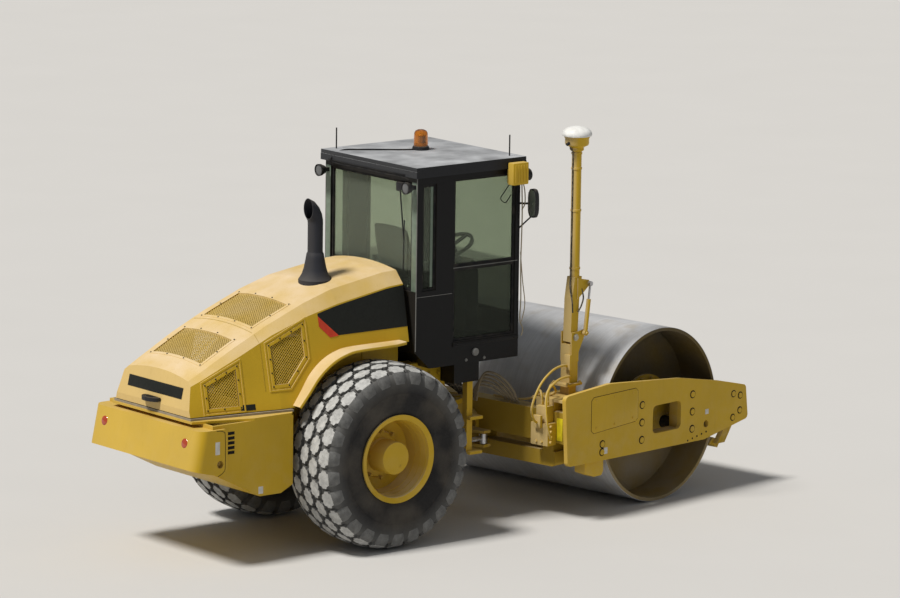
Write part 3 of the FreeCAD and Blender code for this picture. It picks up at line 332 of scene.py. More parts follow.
def drum_finish(name):
    """Rubbed steel outside the drum, dusty paint inside it with painted shade over its upper part, parted by
    the distance to its axis.
    """
    made, tree, shader = material(name)
    own, square = about_axle(tree, FRONT @ DRUM_AT, STEER)
    inside = ramp(tree, square, (DRUM_R - 0.004) ** 2, (DRUM_R - 0.0015) ** 2, 1, 0)
    base, paint, dust = colours().steel, colours().paint, colours().dust
    worn = mix(tree, ramp(tree, noise(tree, 2.2, 6, at=own), 0.3, 0.7), scaled(base, 0.8),
               scaled(base, 1.2))
    rings = ramp(tree, noise(tree, 9, 5, (0.25, 6, 0.25), own), 0.35, 0.7)
    worn = mix(tree, times(tree, rings, 0.35), worn, scaled(base, 0.62))
    soil = ramp(tree, noise(tree, 5, 9, at=own), 0.52, 0.72)
    worn = mix(tree, times(tree, soil, 0.45), worn, scaled(dust, 0.62))
    clods = ramp(tree, noise(tree, 3, 8, at=own), 0.2, 0.8)
    # Inside, the paint is darker towards the top as painted shade, and lighter with dust below.
    inner = mix(tree, height(tree, 1.10, 0.25), mix(tree, clods, scaled(paint, 0.24), scaled(dust, 0.15)),
                mix(tree, clods, scaled(paint, 0.50), scaled(dust, 0.55)))
    rough = times(tree, ramp(tree, noise(tree, 30, 5, at=own), 0.3, 0.7, 0.44, 0.64),
                  times(tree, inside, 0.3), "ADD")
    feed(tree, shader, tone=mix(tree, inside, worn, inner), rough=rough,
         metal=ramp(tree, inside, 0, 1, 0.10, 0))
    bump(tree, shader, noise(tree, 70, 6, at=own), 0.25, 0.001)
    return made


def glass(name):
    """Green glass with a little grime, darker below the line that splits the side windows."""
    made, tree, shader = material(name)
    tint = colours().glass
    grime = ramp(tree, noise(tree, 6, 8), 0.55, 0.8)
    tone = mix(tree, height(tree, CAB["split"] + 0.01, CAB["split"] - 0.01), tint, scaled(tint, 0.38))
    feed(tree, shader, tone=mix(tree, times(tree, grime, 0.2), tone, scaled(tint, 0.8)),
         rough=ramp(tree, grime, 0, 1, 0.0, 0.06), through=0.88, ior=1.1)
    return made


def lens(name, base, share=0.6):
    """Coloured lens that lets a share of the light through."""
    made, tree, shader = material(name)
    tone = mix(tree, ramp(tree, noise(tree, 25, 3), 0.3, 0.7), scaled(base, 0.85), base)
    feed(tree, shader, tone=tone, rough=0.12, through=share, coat=0.5)
    return made


def plastic(name, base, rough=0.45, dust_share=0.2):
    """Moulded plastic with dust where it faces up."""
    made, tree, shader = material(name)
    patches = times(tree, upward(tree), ramp(tree, noise(tree, 12, 6), 0.35, 0.75))
    tone = mix(tree, ramp(tree, noise(tree, 20, 4), 0.3, 0.7), scaled(base, 0.85), scaled(base, 1.1))
    feed(tree, shader, tone=mix(tree, times(tree, patches, dust_share), tone, colours().dust),
         rough=ramp(tree, noise(tree, 45, 5), 0.3, 0.7, rough, rough + 0.15), specular=0.3)
    bump(tree, shader, noise(tree, 320, 3), 0.1, 0.0005)
    return made


def thread(tree, direction):
    """Waves of one thread of cloth."""
    wave = node(tree, "ShaderNodeTexWave", wave_type="BANDS", bands_direction=direction, Scale=160,
                Distortion=0.6)
    tree.links.new(place(tree), wave.inputs["Vector"])
    return wave.outputs["Fac"]


def woven(name, base):
    """Seat cloth: two crossed threads with a soft sheen."""
    made, tree, shader = material(name)
    threads = times(tree, thread(tree, "X"), thread(tree, "Z"))
    feed(tree, shader, tone=mix(tree, threads, scaled(base, 0.7), scaled(base, 1.3)), rough=0.9, sheen=0.3)
    bump(tree, shader, threads, 0.4, 0.001)
    return made


# Finishes by their short names, filled by make_finishes.
FINISH = {}


def make_finishes():
    """Make every finish, from the user's colours."""
    c = colours()
    paint = tuple(c.paint)
    FINISH.update(
        paint=dusty_paint("body_paint", paint),
        hood=dusty_paint("hood_paint", paint, top_dust_and_sheen=0.84, dust_rear=0.38, dust=(0.75, 0.60, 0.43)),
        pale_paint=dusty_paint("mast_paint", paint, top_dust_and_sheen=0.5, dust_low=0.15, dust_rear=0.45),
        # Darker body paint: grime on the chassis parts and bolts, painted shade along the hood's folds.
        grime_paint=dusty_paint("chassis_paint", scaled(paint, 0.8), top_dust_and_sheen=0.6, dust_low=0.45,
                                gloss=0.5),
        # The rear beam takes the body paint darkened: painted shade.
        beam_paint=dusty_paint("beam_paint", scaled(paint, 0.62), top_dust_and_sheen=0.45, dust_low=0.06, gloss=0.5,
                               dust_rear=0.04),
        rim_paint=dusty_paint("rim_paint", paint, top_dust_and_sheen=0.95, dust_low=0.2, dust=(0.80, 0.68, 0.42)),
        cab=dusty_paint("cab_black", scaled(c.cab, 0.25), top_dust_and_sheen=0.10, dust_low=0.05, gloss=0.30,
                        specks=0.1, dust_rear=0.03),
        # The roof is the cab's black four times lighter, and blue-grey where it faces up: a painted sky
        # reflection together with dust.
        roof=dusty_paint("roof_black_with_sky_sheen", c.cab, top_dust_and_sheen=0.82, dust_low=0, gloss=0.38, specks=0.1,
                         dust=(0.62, 0.635, 0.66), dust_rear=0.03),
        stack=dusty_paint("stack_grey", c.stack, top_dust_and_sheen=0.15, dust_low=0, gloss=0.5, specks=0.2,
                          dust_rear=0.03),
        engine=dusty_paint("engine_grey", (0.05, 0.05, 0.05), top_dust_and_sheen=0.5, dust_low=0.3, gloss=0.6),
        glass=glass("tinted_glass"),
        drum=drum_finish("drum_steel"),
        rod=steel("rod_chrome", (0.50, 0.50, 0.52), 0.25, 1.0),
        bolt=steel("zinc_bolt", (0.50, 0.47, 0.38), 0.35, 0.8),
        tyre=tyre_wall("tyre_wall"),
        tread=tread_top("tread_block"),
        shoulder=tread_top("tyre_shoulder", 0.34),
        rubber=rubber("black_rubber", (0.012, 0.012, 0.013), 0.05),
        seal=rubber("dusty_seal", tuple(c.seal), 0.35),
        hose=rubber("hose_rubber", (0.035, 0.033, 0.03), 0.5, 40),
        cable=rubber("dusty_cable", (0.30, 0.25, 0.17), 0.4, 40),
        black=plastic("black_plastic", (0.016, 0.016, 0.018)),
        # Near black: painted shade in slots, holes, grooves, gaps round bolts and the grip's hollow, and the
        # black of the cable on the frame box.
        dark=plastic("black_and_gap_shade", (0.006, 0.006, 0.006), 0.8, 0),
        plate=plastic("dark_plate", (0.009, 0.0105, 0.008), 0.5, 0.1),
        white=plastic("white_plastic", (0.80, 0.80, 0.78), 0.35, 0.1),
        # Mid grey: painted highlights along the cab's edges, and the latch's dark metal and highlight painted
        # as one.
        edge=plastic("grey_edge_highlight", (0.20, 0.20, 0.19), 0.5, 0.1),
        glass_edge=plastic("green_glass_edge", (0.17, 0.22, 0.17), 0.25, 0.1),
        label=plastic("pale_label", (0.66, 0.65, 0.60), 0.45, 0.1),
        notice=plastic("yellow_label", (0.78, 0.66, 0.02), 0.4, 0.1),
        slash=plastic("red_slash", (0.60, 0.055, 0.022), 0.4, 0.1),
        reflector=lens("red_reflector", tuple(c.reflector), 0.1),
        amber=lens("amber_lens", tuple(c.amber), 0.85),
        clear=lens("lamp_lens", (0.15, 0.155, 0.16), 0.3),
        cloth=woven("seat_cloth", (0.045, 0.048, 0.050)),
    )


# Shapes. Each piece is drawn in metres on its own half of the machine.
def circle(steps, phase=0.0):
    """Angles evenly round a full turn."""
    return [2 * math.pi * (k + phase) / steps for k in range(steps)]


def spoke(angle, radius, y):
    """A point at an angle and a radius from an axis across the machine, at a level of that axis."""
    return Vector((math.cos(angle) * radius, y, math.sin(angle) * radius))


def outward(side, near, far):
    """Two levels on one side of the machine, the lower first."""
    return sorted((side * near, side * far))


class Form:
    """The mesh of one piece, drawn on the rear or the front half."""

    def __init__(self, half=REAR):
        """Start with no faces; new ones take the first finish."""
        self.bm = bmesh.new()
        self.half = half
        self.paint = 0

    def add(self, points, faces):
        """Points and the faces between them."""
        verts = [self.bm.verts.new(p) for p in points]
        made = []
        for ring in faces:
            face = self.bm.faces.new([verts[i] for i in ring])
            face.material_index = self.paint
            made.append(face)
        return verts, made

    def soften(self, faces, radius, segments=2):
        """Round the edges of some faces."""
        edges = list(dict.fromkeys(e for f in faces for e in f.edges))
        bmesh.ops.bevel(self.bm, geom=edges, offset=radius, segments=segments, profile=0.6,
                        affect="EDGES", clamp_overlap=True, material=self.paint)

    def sleeve(self, rings, caps=False, loop=False):
        """A skin over rings of points, each joined to the next one."""
        count, steps = len(rings), len(rings[0])
        links = [(i, (i + 1) % count) for i in range(count if loop else count - 1)]
        faces = [[steps * a + k, steps * a + (k + 1) % steps, steps * b + (k + 1) % steps, steps * b + k]
                 for a, b in links for k in range(steps)]
        if caps:
            faces += [list(range(steps))[::-1], [steps * (count - 1) + k for k in range(steps)]]
        return self.add([point for ring in rings for point in ring], faces)

    def prism(self, ring, run, soft=0.0):
        """A flat ring of points, pushed along run."""
        ring, run = [Vector(p) for p in ring], Vector(run)
        count = len(ring)
        faces = [list(range(count))[::-1], list(range(count, 2 * count))]
        faces += [(i, (i + 1) % count, count + (i + 1) % count, count + i) for i in range(count)]
        made = self.add(ring + [p + run for p in ring], faces)[1]
        if soft:
            self.soften(made, soft)

    def block(self, low, high, soft=0.004):
        """A box between two corners, its edges rounded."""
        (x0, y0, z0), (x1, y1, z1) = low, high
        self.prism([(x0, y0, z0), (x1, y0, z0), (x1, y1, z0), (x0, y1, z0)], (0, 0, z1 - z0), soft)

    def side(self, outline, y0, y1, soft=0.0):
        """An outline of (x, z) between two levels across the machine."""
        self.prism([(x, y0, z) for x, z in outline], (0, y1 - y0, 0), soft)

    def turned(self, at, axis, profile, steps=32):
        """A profile of (radius, height) turned about an axis through a point."""
        at, axis = Vector(at), Vector(axis).normalized()
        across = axis.orthogonal().normalized()
        other = axis.cross(across)
        points, faces, rings = [], [], []
        for radius, level in profile:
            if radius <= 1e-6:
                rings.append([len(points)] * steps)
                points.append(at + axis * level)
                continue
            rings.append(list(range(len(points), len(points) + steps)))
            points += [at + axis * level + (across * math.cos(a) + other * math.sin(a)) * radius
                       for a in circle(steps)]
        for low, high in zip(rings, rings[1:]):
            for k in range(steps):
                n = (k + 1) % steps
                ring = list(dict.fromkeys((low[k], low[n], high[n], high[k])))
                if len(ring) > 2:
                    faces.append(ring)
        self.add(points, faces)

    def rod(self, start, end, radius, steps=16, chamfer=0.0):
        """A round bar between two points."""
        start, end = Vector(start), Vector(end)
        run = (end - start).length
        profile = [(radius, 0), (radius, run)]
        if chamfer:
            profile = [(radius - chamfer, 0), (radius, chamfer), (radius, run - chamfer),
                       (radius - chamfer, run)]
        self.turned(start, end - start, [(0, 0), *profile, (0, run)], steps)

    def bolt(self, at, axis, across, tall, washer=0.0):
        """A hexagon head on a washer."""
        at, axis = Vector(at), Vector(axis).normalized()
        lift = 0.0
        if washer:
            lift = tall * 0.3
            self.turned(at, axis, [(0, 0), (washer, 0), (washer, lift), (0, lift)], 20)
        head = [(0, 0), (across, 0), (across, tall * 0.75), (across * 0.82, tall), (0, tall)]
        self.turned(at + axis * lift, axis, head, 6)

    def pipe(self, points, radius, steps=8, fine=6):
        """A round hose along a smooth line through the points."""
        path = smooth_line(points, fine)
        rings, side = [], None
        for point, ahead in zip(path, directions(path)):
            side = ahead.orthogonal() if side is None else side - ahead * side.dot(ahead)
            side.normalize()
            other = ahead.cross(side)
            rings.append([point + (side * math.cos(a) + other * math.sin(a)) * radius
                          for a in circle(steps)])
        self.sleeve(rings, caps=True)

    def done(self, name, body, finishes, slot=None, crease=35, ride=True):
        """Close the mesh, give it its finishes and hang the piece on its body."""
        bmesh.ops.remove_doubles(self.bm, verts=self.bm.verts, dist=1e-6)
        bmesh.ops.recalc_face_normals(self.bm, faces=self.bm.faces)
        self.bm.transform(self.half)
        mesh = bpy.data.meshes.new(name)
        self.bm.to_mesh(mesh)
        self.bm.free()
        for finish in [finishes] if isinstance(finishes, str) else finishes:
            mesh.materials.append(FINISH[finish])
        mesh.polygons.foreach_set("use_smooth", [True] * len(mesh.polygons))
        mesh.set_sharp_from_angle(angle=math.radians(crease))
        piece = bpy.data.objects.new(name, mesh)
        bpy.context.scene.collection.objects.link(piece)
        if ride:
            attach(piece, body)
        return piece


def smooth_line(points, fine):
    """Points on a smooth line that passes through the given ones."""
    points = [Vector(p) for p in points]
    ends = [points[0] * 2 - points[1]] + points + [points[-1] * 2 - points[-2]]
    line = []
    for a, b, c, d in zip(ends, ends[1:], ends[2:], ends[3:]):
        for k in range(fine):
            t = k / fine
            line.append(0.5 * (2 * b + (c - a) * t + (2 * a - 5 * b + 4 * c - d) * t * t
                               + (3 * b - a - 3 * c + d) * t ** 3))
    return line + [points[-1]]


def directions(path):
    """The way that a line runs at each of its points."""
    last = len(path) - 1
    return [(path[min(i + 1, last)] - path[max(i - 1, 0)]).normalized() for i in range(last + 1)]


def pairs(ring):
    """Each point of a ring with the next one, all the way round."""
    return list(zip(ring, ring[1:] + ring[:1]))


def winding(ring):
    """1 where a ring of 2-D points runs against the clock, -1 where it runs with it."""
    return 1 if sum(a.x * b.y - b.x * a.y for a, b in pairs(ring)) > 0 else -1


def grown(ring, margin):
    """A convex ring of 2-D points moved outward by margin."""
    ring = [Vector(p) for p in ring]
    sign = winding(ring)
    made = []
    for before, (here, after) in zip(ring[-1:] + ring[:-1], pairs(ring)):
        one, two = (here - before).normalized(), (after - here).normalized()
        n1, n2 = Vector((one.y, -one.x)) * sign, Vector((two.y, -two.x)) * sign
        made.append(here + (n1 + n2) / (1 + n1.dot(n2)) * margin)
    return made


def clipped(ring, origin, direction):
    """The stretch of a line that lies inside a convex ring, as two numbers along it, or None."""
    low, high = -math.inf, math.inf
    sign = winding(ring)
    for a, b in pairs(ring):
        edge = b - a
        inward = Vector((-edge.y, edge.x)) * sign
        speed, gap = inward.dot(direction), inward.dot(origin - a)
        if abs(speed) < 1e-12:
            if gap < 0:
                return None
            continue
        at = -gap / speed
        if speed > 0:
            low = max(low, at)
        else:
            high = min(high, at)
    return (low, high) if high - low > SHORTEST_BAR else None


# The hood's outside, from the sections that it is lofted through.
HOOD = (  # x, lower half width, shoulder half width and height, edge half width and height
    (-3.200, 0.520, 0.455, 1.470, 0.410, 1.500),
    (-3.060, 0.538, 0.475, 1.530, 0.420, 1.570),
    (-2.700, 0.592, 0.500, 1.690, 0.430, 1.755),
    (-2.370, 0.650, 0.510, 1.838, 0.430, 1.905),
    (-2.000, 0.672, 0.515, 1.960, 0.430, 2.050),
    (-1.700, 0.680, 0.515, 2.030, 0.425, 2.140),
    (-1.150, 0.680, 0.510, 2.120, 0.415, 2.225),
    (-1.000, 0.680, 0.510, 2.130, 0.415, 2.232),
)
HOOD_LOW = 1.244
CROWN = 0.038
SHORTEST_BAR = 0.004
SIDE_GRILLES = (
    ((-3.020, 1.300), (-2.740, 1.300), (-2.740, 1.600), (-3.020, 1.480)),
    ((-2.400, 1.440), (-2.270, 1.440), (-2.080, 1.640), (-2.080, 1.880), (-2.400, 1.750)),
)
TOP_GRILLES = ((-2.960, -2.640, 0.330), (-2.440, -2.080, 0.330))


def hood_row(x):
    """The hood's section at a place along it."""
    for a, b in zip(HOOD, HOOD[1:]):
        if x <= b[0]:
            t = max(0.0, (x - a[0]) / (b[0] - a[0]))
            return [p + (q - p) * t for p, q in zip(a, b)]
    return list(HOOD[-1])


def hood_top(x, y):
    """The height of the hood's crowned top."""
    row = hood_row(x)
    return row[5] + CROWN * (1 - (y / row[4]) ** 2)


def hood_side(x, z):
    """How far from the middle the hood's flank is."""
    row = hood_row(x)
    if z <= row[3]:
        return row[1] + (row[2] - row[1]) * (z - HOOD_LOW) / (row[3] - HOOD_LOW)
    return row[2] + (row[4] - row[2]) * (z - row[3]) / (row[5] - row[3])


def hood_wall(side):
    """One flank of the hood as a surface that takes a point (x, z) and a lift off it."""
    return lambda p, lift: Vector((p.x, side * (hood_side(p.x, p.y) + lift), p.y))


def hood_roof(p, lift):
    """The hood's top as a surface that takes a point (x, y) and a lift off it."""
    return Vector((p.x, p.y, hood_top(p.x, p.y) + lift))


def woven_bars(form, ring, surface, lift):
    """Two crossed families of thin bars inside a convex ring, laid on a surface."""
    pitch, half, thick = sizes().mesh_pitch, sizes().mesh_bar / 2, 0.004
    section = ((-half, 0), (half, 0), (half, -thick), (-half, -thick))
    ring = [Vector(p) for p in ring]
    middle = sum(ring, Vector((0, 0))) / len(ring)
    count = int(max((p - middle).length for p in ring) / pitch) + 1
    for turn in (math.radians(45), math.radians(-45)):
        along = Vector((math.cos(turn), math.sin(turn)))
        across = Vector((-along.y, along.x))
        for k in range(-count, count + 1):
            origin = middle + across * (k * pitch)
            span = clipped(ring, origin, along)
            if not span:
                continue
            start, end = span
            parts = max(1, int((end - start) / 0.08))
            places = [origin + along * (start + (end - start) * i / parts) for i in range(parts + 1)]
            form.sleeve([[surface(at + across * w, lift + d) for w, d in section] for at in places])


def border(form, ring, width, surface, lift, thick):
    """A flat frame round a ring, on a surface."""
    inner, outer = [], []
    for (a, b), (c, d) in zip(pairs([Vector(p) for p in ring]), pairs(grown(ring, width))):
        parts = max(1, int((b - a).length / 0.05))
        inner += [a.lerp(b, k / parts) for k in range(parts)]
        outer += [c.lerp(d, k / parts) for k in range(parts)]
    top = lift + thick
    form.sleeve([[surface(p, level) for p in flat]
                 for flat, level in ((inner, top), (outer, top), (outer, lift), (inner, lift))], loop=True)


def screws(form, ring, spacing, surface, lift, axis):
    """Screws along a ring, standing on a surface."""
    for a, b in pairs([Vector(p) for p in ring]):
        parts = max(1, round((b - a).length / spacing))
        for k in range(parts):
            form.bolt(surface(a.lerp(b, k / parts), lift), axis, sizes().screw_r, 0.006)


def hood_grilles():
    """Woven mesh in the hood's openings, its flat borders and their screws."""
    bars, frames, heads, beads = Form(), Form(), Form(), Form()
    openings = [(ring, hood_wall(side), 0.13, (0, side, 0.2)) for side in SIDES for ring in SIDE_GRILLES]
    openings += [(((x0, -half), (x1, -half), (x1, half), (x0, half)), hood_roof, 0.22, (-0.3, 0, 1))
                 for x0, x1, half in TOP_GRILLES]
    for ring, surface, spacing, axis in openings:
        woven_bars(bars, ring, surface, -0.006)
        border(frames, ring, 0.024, surface, -0.002, 0.005)
        screws(heads, grown(ring, 0.013), spacing, surface, 0.002, axis)
        if surface is not hood_roof:
            border(beads, grown(ring, 0.040), 0.012, surface, -0.001, 0.006)
    piece = bars.done("hood_mesh", "hood", "pale_paint", "stack_steel")
    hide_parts("hood_grilles")
    frames.done("hood_mesh_borders", "hood", "hood", "body_paint")
    beads.done("hood_beads", "hood", "hood", "body_paint")
    heads.done("hood_screws", "hood", "plate")


def patch(form, columns, surface, lift, thick):
    """A thin sheet on a surface, between the lower and the upper end of each of its columns."""
    points = []
    for level in (lift, lift + thick):
        for x_low, low, x_high, high in columns:
            points.append(surface(Vector((x_low, low)), level))
            points.append(surface(Vector((x_high, high)), level))
    n = len(columns)
    faces = []
    for i in range(n - 1):
        a, b = 2 * i, 2 * n + 2 * i
        faces += [[a, a + 2, a + 3, a + 1], [b, b + 1, b + 3, b + 2], [a, b, b + 2, a + 2],
                  [a + 1, a + 3, b + 3, b + 1]]
    e, f = 2 * n - 2, 4 * n - 2
    faces += [[0, 1, 2 * n + 1, 2 * n], [e, f, f + 1, e + 1]]
    form.add(points, faces)


# The dark side panel of the hood: front, foot, and the slanted rear edge with its red slash.
PANEL = {"front": -1.0005, "low": 1.778, "foot": -1.722, "tip": -1.905, "tip_low": 1.95}


def shoulder(x):
    """The height that the hood's flank panel reaches."""
    return hood_row(x)[3] - 0.012


def hood_panel(side):
    """The dark panel beside the cab, and the red slash along its slanted edge."""
    dark, red = Form(), Form()
    wall, name = hood_wall(side), NAMES[side]
    front, low, foot, tip = (PANEL[key] for key in ("front", "low", "foot", "tip"))
    columns = [(tip, PANEL["tip_low"], tip, shoulder(tip))]
    for i in range(9):
        x = foot + (front - foot) * i / 8
        columns.append((x, low, x, shoulder(x)))
    patch(dark, columns, wall, 0.0005, 0.0012)
    patch(red, [(tip, 1.865, tip, PANEL["tip_low"]), (-1.807, 1.768, -1.807, 1.858),
                (foot - 0.002, low - 0.004, foot + 0.002, low)], wall, 0.0022, 0.0006)
    dark.done(f"hood_panel_{name}", "hood", "plate")
    red.done(f"hood_slash_{name}", "hood", "slash")


def hood_flank(side):
    """A blank tag and the upright folds of the sheet, painted darker as the shade along them."""
    tag, folds = Form(), Form()
    wall, name, half = hood_wall(side), NAMES[side], 0.003
    corners = [(-2.73, 1.258), (-2.60, 1.258), (-2.60, 1.305), (-2.73, 1.305)]
    tag.prism([wall(Vector(p), 0.0005) for p in corners], (0, side * 0.0015, 0))
    tag.done(f"hood_tag_{name}", "hood", "plate")
    for x, low, high in ((-2.755, 1.255, 1.64), (-2.492, 1.40, hood_row(-2.492)[5] - 0.003)):
        knots = [low, high]
        if high > shoulder(x):
            knots.insert(1, min(high, shoulder(x) + 0.01))
        for a, b in zip(knots, knots[1:]):
            patch(folds, [(x - half, a, x - half, b), (x + half, a, x + half, b)], wall, 0.0003, 0.002)
    # The folds take the darker paint as painted shade along the seams.
    folds.done(f"hood_folds_{name}", "hood", "grime_paint", "body_paint")


def hood_trim():
    """Panels, tags and folds of both flanks, the fold over the top and the band at the rear."""
    for side in SIDES:
        hood_panel(side)
        hood_flank(side)
    fold, band = Form(), Form()
    # The fold over the top takes the darker paint as painted shade along the seam.
    patch(fold, [(-2.495, y / 20, -2.489, y / 20) for y in range(-8, 9)], hood_roof, 0.0003, 0.002)
    fold.done("hood_top_fold", "hood", "grime_paint", "body_paint")
    # The rear face leans: its place along the machine follows from the height.
    corners = ((-0.375, 1.375), (0.375, 1.375), (0.375, 1.465), (-0.375, 1.465))
    band.prism([(-3.222 + 0.228 * (z - 1.2) - 0.0015, y, z) for y, z in corners], (-0.002, 0, 0.0005),
               0.0006)
    band.done("rear_band", "hood", "plate")


# Wheel-arch lips on the hood: (x, z) of the arch's edge.
ARCH = ((-2.232, 1.244), (-2.140, 1.350), (-2.030, 1.480), (-1.900, 1.575), (-1.760, 1.630),
        (-1.600, 1.650), (-1.100, 1.650))
LIP_T, LIP_REACH = 0.026, 0.745


def arch_lips():
    """Folded lips over the wheels: a flange on the hood and a turned-down outer edge."""
    form = Form()
    path = smooth_line([(x, 0, z) for x, z in ARCH], 4)
    for side in SIDES:
        rings = []
        for point, ahead in zip(path, directions(path)):
            out = Vector((-ahead.z, 0, ahead.x))
            front = max(0.0, (point.x + 1.30) / 0.20)
            reach = LIP_REACH - 0.045 * front ** 2
            inner = hood_side(point.x, max(point.z, HOOD_LOW)) - 0.012
            section = ((inner, LIP_T), (reach - 0.012, LIP_T), (reach - 0.004, LIP_T - 0.003),
                       (reach, LIP_T - 0.010), (reach, 0.002), (reach - 0.006, 0.0),
                       (reach - 0.008, LIP_T - 0.008), (inner, LIP_T - 0.006))
            rings.append([Vector((0, side * y, 0)) + point + out * up for y, up in section])
        form.sleeve(rings, caps=True)
    piece = form.done("arch_lip_pair", "hood", "hood", "body_paint")
    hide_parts("arch_lips")


# Tyres with staggered tread blocks.
BLOCK_ROWS = ((-0.226, 0.5), (-0.115, 0.0), (0.0, 0.5), (0.115, 0.0), (0.226, 0.5))
BLOCK = ((-0.012, 0.082), (0.020, 0.076), (0.024, 0.060), (0.044, 0.052), (0.050, 0.020), (0.041, 0.004),
         (0.050, -0.014), (0.040, -0.052), (0.020, -0.060), (0.012, -0.082), (-0.020, -0.076),
         (-0.024, -0.060), (-0.044, -0.052), (-0.050, -0.020), (-0.041, -0.004), (-0.050, 0.014),
         (-0.040, 0.052), (-0.020, 0.060))  # across, around
SHOULDER = ((0.266, 0.735, 0.068), (0.280, 0.712, 0.071), (0.2875, 0.685, 0.074), (0.2885, 0.655, 0.077),
            (0.2870, 0.630, 0.078))  # across, radius and half width of a shoulder pad


TYRE_WALL = (
    (0.2490, 0.3505), (0.2520, 0.372), (0.2620, 0.392), (0.2700, 0.430), (0.2790, 0.480), (0.2860, 0.530),
    (0.2870, 0.545), (0.2895, 0.548), (0.2895, 0.556), (0.2870, 0.560), (0.2890, 0.610), (0.2860, 0.650),
    (0.2790, 0.680), (0.2650, 0.705),
)  # across and radius, from the bead to the shoulder


def crown_radius(y):
    """Radius over the tread blocks at a place across the tyre."""
    y = abs(y)
    if y < 0.12:
        return TYRE_R - 0.006 * (y / 0.12) ** 2
    return TYRE_R - 0.006 - 0.046 * ((y - 0.12) / 0.15) ** 2


def tyres():
    """The tyres: a turned carcass and five rows of tread blocks."""
    count = sizes().block_count
    profile = [(r, y) for y, r in TYRE_WALL]
    profile += [(crown_radius(y) - sizes().block_height, y) for y in (0.25, 0.2, 0.15, 0.08)]
    profile += [(r, -y) for r, y in reversed(profile)]
    for side in SIDES:
        centre, name = WHEEL_AT + Y * (side * TRACK_HALF), NAMES[side]
        form = Form()
        form.turned(centre, Y, profile, 104)
        for row, phase in BLOCK_ROWS:
            for k in range(count):
                add_block(form, centre, row, (k + phase) * (2 * math.pi / count))
        piece = form.done(f"tyre_tread_{name}", f"wheel_{name}", ["tyre", "tread", "shoulder"],
                          "tyre_rubber", crease=40)
        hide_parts(f"tyre_{name}")


def add_block(form, centre, row, angle):
    """One tread block: its foot on the carcass and a slightly smaller, dusty top."""
    tall, outer = sizes().block_height, abs(row) > 0.2
    sign = 1 if row > 0 else -1
    rings = []
    for share, drop in ((1.10, -tall - 0.004), (1.05, -0.004), (1.0, 0.0)):
        ring = []
        for across, around in BLOCK:
            narrow = 0.9 if outer and across * sign > 0 else 1.0
            y = row + across * share * narrow
            ring.append(centre + spoke(angle + around * share / TYRE_R, crown_radius(y) + drop, y))
        rings.append(ring)
    verts = form.sleeve(rings)[0]
    top = form.bm.faces.new(verts[-len(BLOCK):])
    top.material_index = 1
    if outer:
        shoulder_pad(form, centre, sign, angle)


def shoulder_pad(form, centre, sign, angle):
    """The pad that carries an outer block down the shoulder, with a scallop left on each side."""
    points = []
    for y, radius, half in SHOULDER:
        for shift in (-half, -half * 0.7, half * 0.7, half):
            drop = 0.010 if abs(shift) == half else 0.0
            points.append(centre + spoke(angle + shift / TYRE_R, radius - drop, sign * (y - drop)))
    form.paint = 2
    form.add(points, [(4 * i + k, 4 * i + k + 1, 4 * i + k + 5, 4 * i + k + 4)
                      for i in range(len(SHOULDER) - 1) for k in range(3)])
    form.paint = 0


def wheel_bolts():
    """Hub cap, the bolts round it and the stepped rings inside each rim."""
    for side in SIDES:
        cap, nuts, rings = Form(), Form(), Form()
        centre, out, name = WHEEL_AT + Y * (side * TRACK_HALF), Y * side, NAMES[side]
        cap.turned(centre, out, [(0.130, 0.026), (0.139, 0.032), (0.139, 0.228), (0.134, 0.236),
                                 (0.0, 0.237)], 48)
        cap.bolt(centre + Vector((0.05, side * 0.237, -0.075)), out, 0.010, 0.006)
        cap.done(f"hub_cap_{name}", f"wheel_{name}", "paint", "body_paint")
        for a in circle(10, 0.5):
            nuts.bolt(centre + spoke(a, 0.196, side * 0.028), out, 0.016, 0.022, 0.020)
        nuts.done(f"wheel_nuts_{name}", f"wheel_{name}", "grime_paint", "body_paint")
        for level, outer, inner in ((0.085, 0.326, 0.308), (0.150, 0.330, 0.316), (0.215, 0.333, 0.322)):
            rings.turned(centre, out, [(outer, level), (inner, level), (inner, level + 0.014),
                                       (outer, level + 0.020)], 64)
        rings.done(f"rim_steps_{name}", f"wheel_{name}", "rim_paint", "body_paint")


# The panel over a wheel well and the cheek under the cab's rear corner, as outlines of (x, z).
WELL = ((-2.20, 1.262), (-2.09, 1.38), (-1.98, 1.48), (-1.86, 1.555), (-1.72, 1.600), (-1.58, 1.615),
        (-1.012, 1.615), (-1.012, 1.262))
CHEEK = ((-0.990, 1.205), (-0.450, 1.205), (-0.450, 1.393), (-0.784, 1.393), (-0.840, 1.44), (-0.990, 1.44))


def liners():
    """Panels that close the wheel wells behind the tyres, and the cab's cheeks."""
    wells, cheeks = Form(), Form()
    for side in SIDES:
        wells.side(WELL, *outward(side, 0.462, 0.470), 0.002)
        for x in (-1.95, -1.62, -1.30, -1.06):
            wells.bolt((x, side * 0.470, 1.30), Y * side, 0.012, 0.008, 0.018)
        low, high = outward(side, 0.470, 0.474)
        wells.block((-1.40, low, 1.262), (-1.37, high, 1.61), 0.001)
    wells.done("well_liners", "hood", "paint", "body_paint")
    for side in SIDES:
        cheeks.side(CHEEK, *outward(side, 0.395, 0.403), 0.002)
        low, high = outward(side, 0.405, 0.520)
        cheeks.block((-0.925, low, 1.400), (-0.835, high, 1.438), 0.006)
        for x in (-0.62, -0.52):
            cheeks.bolt((x, side * 0.403, 1.30), Y * side, 0.016, 0.012, 0.024)
    cheeks.done("cab_cheeks", "rear", "paint", "body_paint")


